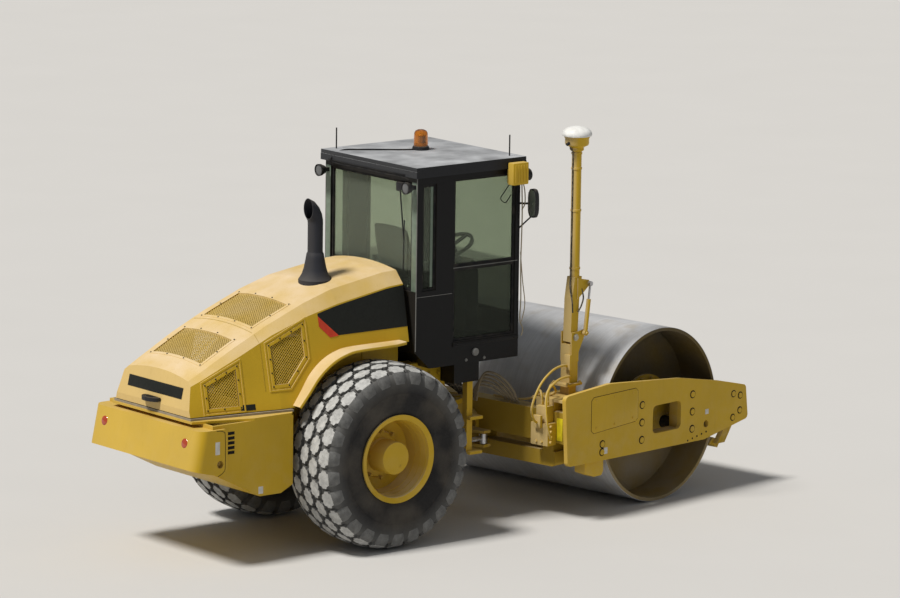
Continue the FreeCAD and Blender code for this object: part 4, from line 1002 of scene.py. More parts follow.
# Bumper, frame box and ledge.
def bumper_trim():
    """Reflectors on the bumper, and the slots as dark blocks of painted shade, the cable and the blank labels
    of the frame box.
    """
    lamps, slots, labels = Form(), Form(), Form()
    out = Vector((-0.32, 0, 0.068)).normalized()
    foot, top = Vector((-3.330, 0, 0.850)), Vector((-3.262, 0, 1.170))
    cable = ((-3.10, 1.164), (-3.03, 1.150), (-3.012, 1.110), (-3.010, 0.870), (-3.025, 0.815),
             (-3.085, 0.782))
    for side in SIDES:
        at = foot.lerp(top, 0.64) + Y * (side * 0.56) + out * 0.0003
        lamps.turned(at, out, [(0, 0.004), (0.034, 0.004), (0.038, 0.002), (0.040, 0.0)], 32)
        # Each slot is a dark block: painted shade inside it.
        for k in range(5):
            z = 1.135 - k * 0.040
            slots.block((-2.985, side * 0.7185, z - 0.026), (-2.90, side * 0.7225, z), 0.006)
        labels.block((-3.110, side * 0.7445, 0.965), (-3.066, side * 0.7462, 1.070), 0.0006)
        labels.block((-2.652, side * 0.7195, 0.580), (-2.605, side * 0.7212, 0.640), 0.0006)
        slots.pipe([(x, side * 0.7452, z) for x, z in cable], 0.0025, 6)
    lamps.done("rear_reflectors", "rear", "reflector")
    slots.done("box_louvres", "rear", "dark")
    labels.done("rear_labels", "rear", "label")


# Yoke plates: (x, z) of the bolts, the cover and its screws, and the lug.
YOKE_BOLTS = [(x, 0.75 + dz) for x in (1.125, 1.80) for dz in (-0.153, 0, 0.153)]
YOKE_BOLTS += [(0.607, 0.635), (0.605, 0.566)]
YOKE_END = [(2.36, 0.83), (2.452, 0.805), (2.450, 0.672), (2.354, 0.62)]
YOKE_HEADS = (  # places, the ring's and the head's outer and inner shares of a bolt, the head's height
    (YOKE_BOLTS, 0.98, 0.68, 0.72, 0.64, 0.006),
    (YOKE_END, 0.9, 0.62, 0.66, 0.58, 0.005),
)
COVER = ((0.46, 0.77), (0.49, 0.745), (1.035, 0.775), (1.065, 0.80), (1.065, 1.035), (1.035, 1.062),
         (0.49, 1.055), (0.46, 1.03))
COVER_SCREWS = ((0.52, 0.785), (0.76, 0.79), (1.00, 0.81), (0.52, 1.025), (0.76, 1.03), (1.00, 1.03))
LUG = ((0.42, 0.52), (0.665, 0.52), (0.665, 0.385), (0.640, 0.352), (0.545, 0.352), (0.42, 0.40))


def yoke_fasteners(side):
    """Bolts with a dark ring of painted shade round each, and a row of small holes painted as dark discs of
    shade.
    """
    rings, heads, holes = Form(FRONT), Form(FRONT), Form(FRONT)
    big, out, name = sizes().bolt_r, Y * side, NAMES[side]
    for places, outer, inner, foot, top, tall in YOKE_HEADS:
        for x, z in places:
            at = Vector((x, side * PLATE_Y, z))
            rings.turned(at, out, [(big * outer, 0.0003), (big * outer, 0.0012), (big * inner, 0.0012),
                                   (big * inner, 0.0003)], 32)
            heads.turned(at, out, [(big * foot, 0), (big * foot, tall), (big * top, tall + 0.003),
                                   (0, tall + 0.003)], 32)
    for k in range(5):
        at = Vector((1.745 + 0.062 * k, side * PLATE_Y, 0.500 + 0.011 * k))
        holes.turned(at, out, [(0, 0.0012), (0.009, 0.0012), (0.009, 0.0002)], 16)
    rings.done(f"yoke_rings_{name}", "yoke", "dark")
    heads.done(f"yoke_bolts_{name}", "yoke", "paint", "body_paint")
    holes.done(f"yoke_holes_{name}", "yoke", "dark")


def yoke_cover(side):
    """The screwed cover of a plate and the groove round it, a dark line of painted shade."""
    cover, groove = Form(FRONT), Form(FRONT)
    out, name = Y * side, NAMES[side]
    cover.prism([(x, side * PLATE_Y, z) for x, z in COVER], out * 0.003, 0.0012)
    border(groove, COVER, 0.004, lambda p, lift: Vector((p.x, side * (PLATE_Y + lift), p.y)), 0.0002,
           0.0006)
    for x, z in COVER_SCREWS:
        cover.bolt(Vector((x, side * (PLATE_Y + 0.003), z)), out, 0.009, 0.006)
    cover.done(f"yoke_cover_{name}", "yoke", "paint", "body_paint")
    groove.done(f"yoke_groove_{name}", "yoke", "dark")


def yoke_trim():
    """All that the two plates of the yoke carry, with the lug under each and its blank labels."""
    for side in SIDES:
        yoke_fasteners(side)
        yoke_cover(side)
        lug, labels, name = Form(FRONT), Form(FRONT), NAMES[side]
        lug.side(LUG, *outward(side, 1.00, 1.120), 0.012)
        lug.done(f"yoke_lug_{name}", "yoke", "paint", "body_paint")
        labels.block((1.975, side * PLATE_Y, 0.70), (2.02, side * (PLATE_Y + 0.0014), 0.745), 0.0006)
        labels.block((0.63, side * PLATE_Y, 0.545), (0.675, side * (PLATE_Y + 0.0014), 0.600), 0.0006)
        labels.done(f"yoke_labels_{name}", "yoke", "label")


def drum_bolts():
    """Bolts of the drum's flanges and of the bearing plates."""
    turning, still = Form(FRONT), Form(FRONT)
    for side in SIDES:
        for a in circle(12):
            turning.bolt(DRUM_AT + spoke(a, 0.185, side * 0.747), Y * side, 0.015, 0.018, 0.019)
        for a in circle(16, 0.5):
            still.bolt(DRUM_AT + spoke(a, 0.302, side * 0.905), Y * side, 0.014, 0.018, 0.018)
        still.turned(DRUM_AT + Y * side * 0.905, Y * side,
                     [(0.135, 0), (0.135, 0.02), (0.12, 0.03), (0.05, 0.03), (0.045, 0.04), (0, 0.04)], 40)
    turning.done("drum_flange_bolts", "drum", "grime_paint", "body_paint")
    still.done("bearing_bolts", "yoke", "grime_paint", "body_paint")


# Points of the four hoses that leave the valve block.
VALVE_HOSES = (
    ((0.06, -0.895, 0.86), (0.0, -0.90, 0.90), (-0.06, -0.93, 1.02), (0.02, -0.95, 1.20),
     (0.20, -0.93, 1.30), (0.38, -0.90, 1.315), (0.455, -0.885, 1.28)),
    ((0.105, -1.01, 0.745), (0.06, -1.04, 0.75), (0.02, -1.03, 0.90), (0.06, -0.99, 1.12),
     (0.22, -0.96, 1.21), (0.40, -0.93, 1.22), (0.455, -0.905, 1.20)),
    ((0.14, -0.93, 1.03), (0.15, -0.93, 1.12), (0.22, -0.90, 1.17), (0.30, -0.88, 1.10),
     (0.30, -0.82, 1.06), (0.40, -0.78, 1.065)),
    ((0.14, -0.87, 1.03), (0.14, -0.86, 1.09), (0.18, -0.80, 1.11), (0.25, -0.66, 1.02),
     (0.27, -0.45, 0.975), (0.27, -0.2, 0.97)),
)


def valve_block():
    """Valve block on the yoke's right with its ports, the label beside it and its hoses."""
    form, face, hoses = Form(FRONT), Form(FRONT), Form(FRONT)
    form.block((0.075, -0.995, 0.665), (0.189, -0.80, 0.86), 0.010)
    form.block((0.095, -0.96, 0.86), (0.1895, -0.84, 1.005), 0.010)
    form.block((0.045, -0.935, 0.82), (0.075, -0.855, 0.93), 0.006)
    for z in (0.70, 0.745, 0.79, 0.835):
        form.rod((0.105, -0.995, z), (0.105, -1.018, z), 0.013, 12, 0.002)
    for y in (-0.93, -0.87):
        form.rod((0.14, y, 1.005), (0.14, y, 1.04), 0.014, 12, 0.003)
        form.bolt((0.075, y, 0.70), (-1, 0, 0), 0.012, 0.012)
    piece = form.done("valve_body", "yoke", "pale_paint", "stack_steel")
    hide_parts("valve_block")
    face.block((0.1868, -1.062, 0.705), (0.1896, -0.998, 0.90), 0.0008)
    face.done("beam_label", "yoke", "notice")
    for points in VALVE_HOSES:
        hoses.pipe(points, sizes().hose_r * 0.8)
    hoses.done("yoke_hoses", "yoke", "pale_paint")


def joint_hoses():
    """Hoses over the steering pin, from the rear frame to the hitch."""
    bends = Form()
    for k in range(5):
        y = -0.13 + 0.065 * k
        z = 1.04 + 0.03 * (k % 2)
        bends.pipe([(-0.60, y, 1.23), (-0.42, y, 1.26), (-0.20, y * 0.9, z + 0.12), (0.0, y * 0.8, z + 0.02),
                    (0.12, y * 0.8 + 0.018, 0.985), (0.155, y * 0.8 + 0.023, 0.94)], sizes().hose_r, 8, 8)
    piece = bends.done("joint_hoses", None, "hose", "rubber", ride=False)
    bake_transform(piece)


def yoke_lines():
    """A fan of hoses that bows from the hitch over to the yoke's beam."""
    fan = Form()
    for k in range(5):
        fan.pipe([(0.145, -0.060 - 0.012 * k, 0.935), (0.125, -0.10 - 0.015 * k, 1.03 + 0.01 * k),
                  (0.125, -0.16 - 0.022 * k, 1.08 + 0.030 * k), (0.18, -0.23 - 0.032 * k, 1.07 + 0.030 * k),
                  (0.25, -0.28 - 0.040 * k, 1.02 + 0.018 * k), (0.30, -0.29 - 0.044 * k, 0.985),
                  (0.315, -0.295 - 0.045 * k, 0.955)], 0.011, 8, 8)
    piece = fan.done("yoke_lines", None, "cable", "rubber", ride=False)
    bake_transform(piece)


# Cab: seals, edges, roof plate, latch, sill, wiper and cables.
def frame_ring(form, low, high, width, axis, level, thick):
    """A flat rubber ring round a rectangle of two axes, at a level of the third."""
    (a0, b0), (a1, b1) = low, high

    def surface(p, lift):
        """The flat that the ring lies on."""
        return Vector((p.x, level + lift, p.y) if axis == "Y" else (level + lift, p.x, p.y))
    border(form, grown([(a0, b0), (a1, b0), (a1, b1), (a0, b1)], -width), width, surface, 0, thick)


def cab_seals():
    """Rubber seals of the cab's windows."""
    seals = Form()
    rear_x, waist, split = CAB["rear"], CAB["waist"], CAB["split"]
    level, width, thick, head = CAB["half"] - 0.0245, 0.022, 0.012, 2.985
    for side in SIDES:
        frame_ring(seals, (rear_x + 0.06, waist), (-0.735, 2.965), width, "Y", side * level, side * thick)
    frame_ring(seals, (-0.545, 1.60), (0.125, split - 0.008), width, "Y", -level, -thick)
    frame_ring(seals, (-0.545, split + 0.008), (0.125, head), width, "Y", -level, -thick)
    frame_ring(seals, (-0.55, waist), (0.55, head), width, "X", rear_x + 0.0245, -thick)
    frame_ring(seals, (-0.56, 1.76), (0.56, head), width, "X", CAB["front"] - 0.0245, thick)
    seals.done("cab_seals", "rear", "rubber", "rubber")


def cab_edges():
    """Grey lines of painted highlight along the edges of the cab's posts, and pale edges of its glass."""
    lines, edges = Form(), Form()
    rear_x, half, waist, split = CAB["rear"], CAB["half"], CAB["waist"], CAB["split"]
    for side in SIDES:
        x, y = rear_x - 0.001, side * (half + 0.001)
        lines.rod((x, y, 1.56), (x, y, 3.03), 0.004, 8)
        lines.block((rear_x + 0.002, side * half, waist - 0.045),
                    (-0.56, side * (half + 0.0015), waist - 0.041), 0.0004)
    lines.block((-0.548, -half - 0.0015, split - 0.003), (0.150, -half, split + 0.003), 0.0004)
    lines.done("cab_edges", "rear", "edge")
    for side in SIDES:
        y = side * 0.586
        edges.block((rear_x - 0.003, y - 0.031, waist + 0.005), (rear_x - 0.0008, y + 0.031, 2.99), 0.0008)
        low, high = outward(side, half - 0.030, half - 0.020)
        edges.block((-0.784, low, waist + 0.03), (-0.738, high, 2.955), 0.004)
    edges.done("glass_edges", "rear", "glass_edge", "glass")


def cab_trim():
    """Roof plate, the right window's latch and sill, and the rear wiper."""
    plate, latch, sill, wiper = Form(), Form(), Form(), Form()
    rear_x, half, reach, top = CAB["rear"], CAB["half"], 0.0345, CAB["roof"]
    plate.block((rear_x - reach, -half - reach, top - 0.037),
                (CAB["front"] + reach, half + reach, top + 0.001), 0.006)
    plate.done("roof_plate", "rear", "roof", "cab_paint")
    # The latch and its bolts are mid grey: dark metal and a painted highlight as one.
    latch.turned((-0.300, -half, 1.490), -Y, [(0, 0.020), (0.026, 0.020), (0.032, 0.014), (0.034, 0)], 24)
    for x in (-0.395, -0.199):
        latch.bolt((x, -half, 1.430), -Y, 0.011, 0.008, 0.014)
    latch.done("cab_latch", "rear", "edge")
    sill.block((-0.545, -half - 0.012, 1.556), (0.165, -half, 1.589), 0.004)
    for x in (-0.50, -0.16, 0.12):
        sill.bolt((x, -half - 0.012, 1.572), -Y, 0.008, 0.005)
    sill.done("cab_sill", "rear", "cab", "cab_paint")
    level = rear_x - 0.012
    wiper.block((level - 0.035, -0.47, 2.90), (rear_x + 0.002, -0.39, 2.975), 0.008)
    wiper.rod((level - 0.02, -0.43, 2.92), (level - 0.008, -0.47, 2.50), 0.006, 8)
    wiper.rod((level - 0.006, -0.475, 2.66), (level - 0.006, -0.465, 2.24), 0.005, 8)
    wiper.done("rear_wiper", "rear", "black")


# The cab's cables: the share of the cable radius, then the points.
ROOF_Z = CAB["roof"] + 0.008
DARK_CABLES = (
    (1.0, (-0.38, 0.134, ROOF_Z), (-0.50, 0.20, ROOF_Z), (-0.75, 0.38, ROOF_Z), (-0.90, 0.47, ROOF_Z - 0.006),
     (-0.985, 0.50, 3.06), (-0.99, 0.50, 3.00)),
    (0.9, (-0.985, 0.50, 3.03), (-0.992, 0.35, 3.022), (-0.99, 0.10, 3.025), (-0.993, -0.2, 3.02),
     (-0.99, -0.45, 3.026), (-0.985, -0.56, 3.01)),
    (0.7, (-0.985, 0.54, 3.045), (-0.988, 0.1, 3.04), (-0.986, -0.5, 3.045)),
    (0.7, (0.02, -0.66, 2.90), (-0.03, -0.655, 2.84), (-0.06, -0.64, 2.78), (0.0, -0.632, 2.74),
     (0.06, -0.63, 2.80)),
)
PALE_CABLES = (
    (0.9, (0.178, -0.63, 2.90), (0.182, -0.636, 2.6), (0.178, -0.632, 2.2), (0.180, -0.638, 1.9),
     (0.178, -0.632, 1.72), (0.20, -0.645, 1.64), (0.19, -0.64, 1.58)),
    (0.8, (0.196, -0.60, 2.93), (0.20, -0.64, 2.84), (0.19, -0.66, 2.72), (0.182, -0.63, 2.66)),
    (0.7, (0.176, -0.628, 2.30), (0.195, -0.64, 2.05), (0.215, -0.65, 1.85), (0.19, -0.64, 1.70)),
)


def cab_cables():
    """Pale cables down the cab's front corner and dark ones over its roof."""
    for cables, name, finish in ((PALE_CABLES, "cab_front_cables", "cable"),
                                 (DARK_CABLES, "cab_cables", "rubber")):
        form = Form()
        for share, *points in cables:
            form.pipe(points, sizes().cable_r * share)
        form.done(name, "rear", finish, "rubber")


# Seat: back and cushion with rolled edges and sewn channels.
def pad_shape(form, middle, right, up, out, half_w, half_h, thick, channels):
    """A crowned pad: a grid whose front swells and whose channels are pressed in."""
    columns, rows = 16, 14
    front, back = [], []
    for j in range(rows + 1):
        for i in range(columns + 1):
            u, v = 2 * i / columns - 1, 2 * j / rows - 1
            round_off = 1 - 0.06 * (u * u * v * v)
            swell = (1 - abs(u) ** 4) * (1 - abs(v) ** 4)
            crease = sum(math.exp(-((v - c) / 0.05) ** 2) for c in channels)
            at = middle + right * (u * half_w * round_off) + up * (v * half_h * round_off)
            front.append(at + out * (thick * (0.35 + 0.65 * swell ** 0.5) - 0.012 * crease * swell))
            back.append(at - out * (thick * 0.25 * swell))
    n = columns + 1
    faces = []
    for j in range(rows):
        for i in range(columns):
            a = n * j + i
            faces.append([a, a + 1, a + n + 1, a + n])
            b = a + len(front)
            faces.append([b, b + n, b + n + 1, b + 1])
    rim = list(range(n)) + [n * j + columns for j in range(1, rows + 1)]
    rim += [n * rows + i for i in range(columns - 1, -1, -1)] + [n * j for j in range(rows - 1, 0, -1)]
    shift = len(front)
    for a, b in pairs(rim):
        faces.append([a, a + shift, b + shift, b])
    form.add(front + back, faces)


def seat():
    """The cushion and the back of the seat, and its armrests."""
    pads, arms = Form(), Form()
    pad_shape(pads, Vector((-0.475, 0, 2.01)), Y, X, Z, 0.235, 0.215, 0.055, (-0.35, 0.35))
    up = Vector((-0.09, 0, 0.47)).normalized()
    pad_shape(pads, Vector((-0.705, 0, 2.30)), Y, up, Y.cross(up).normalized(), 0.225, 0.235, 0.065,
              (-0.45, 0.1, 0.55))
    piece = pads.done("operator_pad", "rear", "cloth", "seat_fabric", crease=60)
    smooth = piece.modifiers.new("Smooth", "SUBSURF")
    smooth.levels = smooth.render_levels = 1
    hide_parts("seat_cushion")
    for side in SIDES:
        arms.block((-0.70, side * 0.262 - 0.03, 2.19), (-0.40, side * 0.262 + 0.03, 2.235), 0.012)
        arms.rod((-0.71, side * 0.235, 2.17), (-0.69, side * 0.262, 2.20), 0.014, 10)
    arms.done("operator_armrests", "rear", "black")


# Lamps, mirrors, beacon and mast.
def lamps():
    """Work lamps at the roof's corners: round bodies on feet, with clear glasses."""
    bodies, glasses = Form(), Form()
    body = [(0, 0), (0.022, 0), (0.034, 0.012), (0.050, 0.05), (0.052, 0.075), (0.046, 0.075), (0.046, 0.07)]
    glass_face = [(0, 0.004), (0.03, 0.003), (0.046, 0)]
    for x, way in ((CAB["rear"] - 0.110, -1), (CAB["front"] + 0.115, 1)):
        for side in SIDES:
            y, back = side * (CAB["half"] - 0.03), x - way * 0.075
            bodies.turned((back, y, 2.95), X * way, body, 28)
            glasses.turned((back + way * 0.068, y, 2.95), X * way, glass_face, 28)
            low, high = sorted((back, back - way * 0.036))
            bodies.block((low, y - 0.02, 2.932), (high, y + 0.02, 2.968), 0.005)
    piece = bodies.done("lamp_bodies", "rear", "black", "cab_paint")
    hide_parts("work_lamps")
    glasses.done("lamp_glasses", "rear", "clear")


def mirrors():
    """Mirrors beside the cab's front: rounded shells, their faces and two arms each."""
    form, faces = Form(), Form()
    middle = 2.725
    for side in SIDES:
        y = side * 0.725
        ring = []
        for a in circle(28):
            c, s = math.cos(a), math.sin(a)
            ring.append((0.212, y + 0.054 * math.copysign(abs(c) ** 0.55, c),
                         middle + 0.124 * math.copysign(abs(s) ** 0.75, s)))
        form.prism(ring, (0.036, 0, 0), 0.010)
        faces.prism([(0.2085, across * 0.9 + y * 0.1, middle + (up - middle) * 0.92)
                     for _, across, up in ring], (0.004, 0, 0))
        form.pipe([(0.172, side * 0.60, 2.715), (0.20, side * 0.645, 2.715), (0.235, side * 0.69, 2.72)],
                  0.009)
        form.pipe([(0.172, side * 0.605, 2.50), (0.20, side * 0.66, 2.56), (0.23, side * 0.715, 2.62)], 0.007)
    piece = form.done("mirror_shells", "rear", "black", "cab_paint")
    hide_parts("mirrors")
    faces.done("mirror_faces", "rear", "rod")


def receiver_case():
    """Ribbed case of the satellite receiver, beside the cab's head, and its wider lid."""
    case, lid = Form(), Form()
    outer, inner = -0.7149, -0.6225
    case.block((0.0205, outer + 0.010, 2.901), (0.1495, inner, 3.0245), 0.006)
    for k in range(6):
        x = 0.031 + 0.0190 * k
        case.block((x, outer + 0.001, 2.912), (x + 0.010, outer + 0.012, 3.014), 0.003)
    for z in (2.903, 3.016):
        case.block((0.024, outer, z), (0.146, outer + 0.03, z + 0.007), 0.002)
    piece = case.done("receiver_case", "rear", "paint", "body_paint")
    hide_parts("receiver_box")
    lid.block((-0.003, -0.7349, 2.895), (0.167, -0.660, 3.085), 0.012)
    for k in range(5):
        x = 0.018 + 0.030 * k
        lid.block((x, -0.7400, 2.915), (x + 0.013, -0.733, 3.065), 0.003)
    lid.done("receiver_lid", "rear", "paint", "body_paint")


def beacon():
    """Beacon on the roof: its base, its amber shade and the works inside."""
    at = Vector((-0.309, 0.134, CAB["roof"]))
    base, shade, works = Form(), Form(), Form()
    base.turned(at, Z, [(0.074, 0), (0.074, 0.012), (0.068, 0.030), (0.060, 0.034), (0, 0.034)], 40)
    shade.turned(at, Z, [(0.0615, 0.034), (0.0615, 0.045), (0.0600, 0.120), (0.057, 0.146), (0.047, 0.163),
                         (0.024, 0.173), (0, 0.1748)], 40)
    works.turned(at + Z * 0.034, Z, [(0, 0), (0.030, 0), (0.030, 0.02), (0.012, 0.03), (0.014, 0.075),
                                     (0.02, 0.085), (0.014, 0.1), (0, 0.104)], 24)
    works.block(at + Vector((0.012, -0.035, 0.055)), at + Vector((0.018, 0.035, 0.125)), 0.002)
    base.done("beacon_base", "rear", "black")
    piece = shade.done("beacon_lens", "rear", "amber", "amber")
    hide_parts("beacon")
    works.done("beacon_works", "rear", "rod")


# The mast stands here on the front half, on a pin a little behind its tube.
MAST_X, MAST_Y, MAST_PIN_X = 0.552, -0.85, 0.507


def mast_trim():
    """Bands and cable of the mast, the heads of its pin and the bolts of its foot."""
    bands, cable, knobs, foot = Form(FRONT), Form(FRONT), Form(FRONT), Form(FRONT)
    y, r, c = MAST_Y, 0.042, sizes().cable_r
    for z in (2.12, 2.62, 2.98, 3.11):
        bands.turned((MAST_X, y, z), Z, [(r + 0.0005, 0), (r + 0.005, 0.002), (r + 0.005, 0.018),
                                         (r + 0.0005, 0.02)], 24)
    x = MAST_X - r - c - 0.001
    cable.pipe([(MAST_X - 0.09, y, 3.175), (x - 0.012, y, 3.15), (x, y, 3.10), (x, y, 2.62), (x, y, 2.12),
                (x - 0.03, y - 0.02, 1.98), (0.462, y - 0.056, 1.86), (0.468, y - 0.060, 1.76)], c)
    cable.pipe([(0.585, y - 0.05, 1.96), (0.60, y - 0.062, 1.88), (0.575, y - 0.062, 1.81),
                (0.535, y - 0.060, 1.76)], c * 1.1)
    bands.done("mast_bands", "mast", "pale_paint", "body_paint")
    cable.done("mast_cable", "mast", "hose", "rubber")
    for side in SIDES:
        knobs.bolt((MAST_PIN_X, y + side * 0.0665, 1.543), Y * side, 0.024, 0.012, 0.030)
    knobs.done("mast_pin_heads", "mast", "bolt")
    for dx in (-0.11, 0.045):
        for dy in (-0.078, 0.078):
            foot.bolt((MAST_PIN_X + dx, y + dy, 1.150), Z, 0.012, 0.012, 0.016)
    for x in (0.25, 0.31, 0.56, 0.60):
        for beam_y in (-1.06, -0.74):
            foot.bolt((x, beam_y, 1.050), Z, 0.013, 0.012, 0.018)
    foot.block((0.425, -0.925, 1.27), (0.4515, -0.86, 1.40), 0.004)
    foot.done("mast_foot_bolts", "yoke", "pale_paint", "body_paint")


def mast_receiver():
    """The receiver on the mast: its stepped body, its white dome and its plug."""
    at = Vector((MAST_X, MAST_Y, 3.14))
    base, dome, plug = Form(FRONT), Form(FRONT), Form(FRONT)
    base.turned(at, Z, [(0, 0), (0.05, 0), (0.06, 0.008), (0.06, 0.03), (0.074, 0.04), (0.096, 0.05),
                        (0.103, 0.062), (0.103, 0.108), (0.110, 0.118), (0.110, 0.126)], 48)
    dome.turned(at, Z, [(0.110, 0.126), (0.125, 0.130), (0.128, 0.140), (0.127, 0.152), (0.118, 0.172),
                        (0.095, 0.192), (0.060, 0.206), (0.03, 0.212), (0, 0.2138)], 48)
    base.done("receiver_body", "mast", "pale_paint", "body_paint")
    piece = dome.done("receiver_dome", "mast", "white", "white_plastic")
    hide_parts("mast_receiver")
    plug.turned(at + Vector((-0.10, 0, 0.075)), (-1, 0, -0.35), [(0, 0), (0.013, 0), (0.013, 0.03),
                                                                 (0.008, 0.035), (0, 0.036)], 14)
    plug.done("receiver_plug", "mast", "black")


# The stack's foot and pipe as (radius, height), and its elbow's rings: tilt, x, z and half height.
STACK_AT = Vector((-1.65, -0.15, 0))
STACK_PIPE = ((0.056, 2.10), (0.1399, 2.10), (0.1399, 2.182), (0.132, 2.192), (0.112, 2.225), (0.094, 2.28),
              (0.0805, 2.35), (0.072, 2.40), (0.0655, 2.408), (0.0640, 2.42), (0.0640, 2.66), (0.0580, 2.66),
              (0.0580, 2.50), (0, 2.50))
ELBOW = ((0, 0, 2.645, 0.0645), (12, -0.001, 2.672, 0.065), (30, -0.008, 2.705, 0.068),
         (50, -0.025, 2.738, 0.073), (70, -0.047, 2.763, 0.081), (90, -0.075, 2.780, 0.089))
ELBOW_R, ELBOW_WALL = 0.0645, 0.006


def stack():
    """Exhaust stack: its flared foot, its pipe and an elbow cut upright, open to the rear."""
    form, mouth = Form(), Form()
    form.turned(STACK_AT, Z, STACK_PIPE, 40)
    piece = form.done("stack_pipe", "hood", "stack", "stack_steel")
    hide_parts("exhaust_stack")
    rings = []
    for sections, less in ((ELBOW, 0.0), (ELBOW[::-1], ELBOW_WALL)):
        for tilt, x, z, tall in sections:
            turn = math.radians(tilt)
            other = Vector((math.cos(turn), 0, math.sin(turn)))
            rings.append([STACK_AT + Vector((x, 0, z)) + Y * (math.cos(a) * (ELBOW_R - less))
                          + other * (math.sin(a) * (tall - less)) for a in circle(40)])
    mouth.sleeve(rings)
    mouth.done("stack_elbow", "hood", "stack", "stack_steel")


def bow(steps, deep, half, z):
    """Points of a bow that stands out from the hood's rear face."""
    angles = [math.pi * k / (steps - 1) for k in range(steps)]
    return [(-3.196 - deep * math.sin(a) ** 0.8, half * math.cos(a), z) for a in angles]


def hood_grip():
    """Grab handle on the hood's rear face: a thick dark bow with a hollow in its top, a dark sheet of painted
    shade.
    """
    grip, hollow = Form(), Form()
    grip.prism(bow(32, 0.082, 0.108, 1.313), (0, 0, 0.032), 0.009)
    piece = grip.done("hood_grip", "hood", "black", "rubber")
    hollow.prism(bow(16, 0.052, 0.074, 1.3453), (0, 0, 0.0006))
    hollow.done("hood_grip_hollow", "hood", "dark")
    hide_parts("hood_handle")


# Which finish each solid of the frame takes.
NODE_FINISH = {
    "body_paint": "paint", "cab_paint": "cab", "engine_paint": "engine", "glass": "glass",
    "drum_steel": "drum", "rod_steel": "rod", "tyre_rubber": "tyre", "rubber": "rubber",
    "seat_fabric": "cloth", "stack_steel": "stack", "amber": "amber", "white_plastic": "white",
}
OWN_FINISH = {
    "cab_roof": "roof", "hood": "hood", "hood_seal": "seal", "rear_beam": "beam_paint",
    **dict.fromkeys(("rim_left", "rim_right"), "rim_paint"),
    **dict.fromkeys(("mast_foot", "mast_arm", "mast_ram_barrel"), "pale_paint"),
    **dict.fromkeys(("drum_carriers", "drum_bearings", "drum_stubs", "scrapers", "hitch_block", "rear_axle",
                     "steer_barrel_left", "steer_barrel_right"), "grime_paint"),
}


def dress_nodes():
    """Give each solid of the frame its finish."""
    for name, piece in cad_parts.items():
        for held in piece.material_slots:
            key = held.material.name.split(".")[0]
            held.material = FINISH[OWN_FINISH.get(name) or NODE_FINISH[key]]


# Stage: pale floor, soft light and the camera that stands where the photo was taken from.
EYE = {"azimuth": -39.118, "elevation": 10.366, "roll": 0.797, "distance": 45.0,
       "target": (0.239, -0.198, 1.825), "lens": 210.6}
FLOOR_REACH = 400


def ground():
    """A wide floor in one pale tone."""
    made, tree, shader = material("pale_floor")
    base = tuple(colours().floor)
    tone = mix(tree, ramp(tree, noise(tree, 0.8, 4), 0.3, 0.7), scaled(base, 0.985), base)
    feed(tree, shader, tone=tone, rough=0.9, specular=0.1)
    mesh = bpy.data.meshes.new("floor")
    corners = [(x * FLOOR_REACH, y * FLOOR_REACH, 0) for x, y in ((-1, -1), (1, -1), (1, 1), (-1, 1))]
    mesh.from_pydata(corners, [], [(0, 1, 2, 3)])
    mesh.materials.append(made)
    floor = bpy.data.objects.new("floor", mesh)
    bpy.context.scene.collection.objects.link(floor)


def sky():
    """Soft light from all round, with a pale backdrop where the camera sees past the machine."""
    world = bpy.data.worlds.new("studio")
    bpy.context.scene.world = world
    world.use_nodes = True
    tree = world.node_tree
    tree.nodes.clear()
    path = node(tree, "ShaderNodeLightPath")
    seen = times(tree, path.outputs["Is Camera Ray"], path.outputs["Is Transmission Ray"], "MAXIMUM")
    soft = node(tree, "ShaderNodeBackground", Color=(0.93, 0.96, 1.0, 1), Strength=0.235)
    pale = node(tree, "ShaderNodeBackground", Color=(0.92, 0.92, 0.91, 1), Strength=0.9)
    blend, out = node(tree, "ShaderNodeMixShader"), node(tree, "ShaderNodeOutputWorld")
    for source, socket in ((seen, blend.inputs[0]), (soft.outputs[0], blend.inputs[1]),
                           (pale.outputs[0], blend.inputs[2]), (blend.outputs[0], out.inputs[0])):
        tree.links.new(source, socket)


def sun():
    """One broad warm light from high behind the machine."""
    key = bpy.data.lights.new("key", "SUN")
    key.energy, key.angle, key.color = 3.5, math.radians(12), (1.0, 0.97, 0.92)
    lamp = bpy.data.objects.new("key", key)
    toward = Vector((-0.80, 0.05, 1.33)).normalized()
    lamp.rotation_mode = "QUATERNION"
    lamp.rotation_quaternion = toward.to_track_quat("Z", "Y")
    bpy.context.scene.collection.objects.link(lamp)


def camera():
    """The camera, from its azimuth, elevation and roll round a target."""
    scene = bpy.context.scene
    e, a, roll = (math.radians(EYE[k]) for k in ("elevation", "azimuth", "roll"))
    back = Vector((math.sin(a) * math.cos(e), -math.cos(a) * math.cos(e), math.sin(e)))
    right = Vector((math.cos(a), math.sin(a), 0))
    up = back.cross(right)
    turned_right = right * math.cos(roll) + up * math.sin(roll)
    turned_up = up * math.cos(roll) - right * math.sin(roll)
    eye = bpy.data.cameras.new("eye")
    eye.sensor_fit, eye.sensor_width, eye.lens = "HORIZONTAL", 36, EYE["lens"]
    eye.clip_end = 500
    stand = bpy.data.objects.new("eye", eye)
    matrix = Matrix((turned_right, turned_up, back)).transposed().to_4x4()
    matrix.translation = Vector(EYE["target"]) + back * EYE["distance"]
    stand.matrix_world = matrix
    scene.collection.objects.link(stand)
    scene.camera = stand
    scene.view_settings.view_transform = "Standard"


# One operator for the stage and for each piece or group of like pieces.
class ROLLER_OT_stage(bpy.types.Operator):
    """Make the floor, the light and the camera"""
    bl_idname = "roller.stage"
    bl_label = "Stage"

    def execute(self, context):
        ground()
        sky()
        sun()
        camera()
        return {"FINISHED"}


class ROLLER_OT_finishes(bpy.types.Operator):
    """Make the materials and dress the solids"""
    bl_idname = "roller.finishes"
    bl_label = "Finishes"

    def execute(self, context):
        make_finishes()
        dress_nodes()
        return {"FINISHED"}


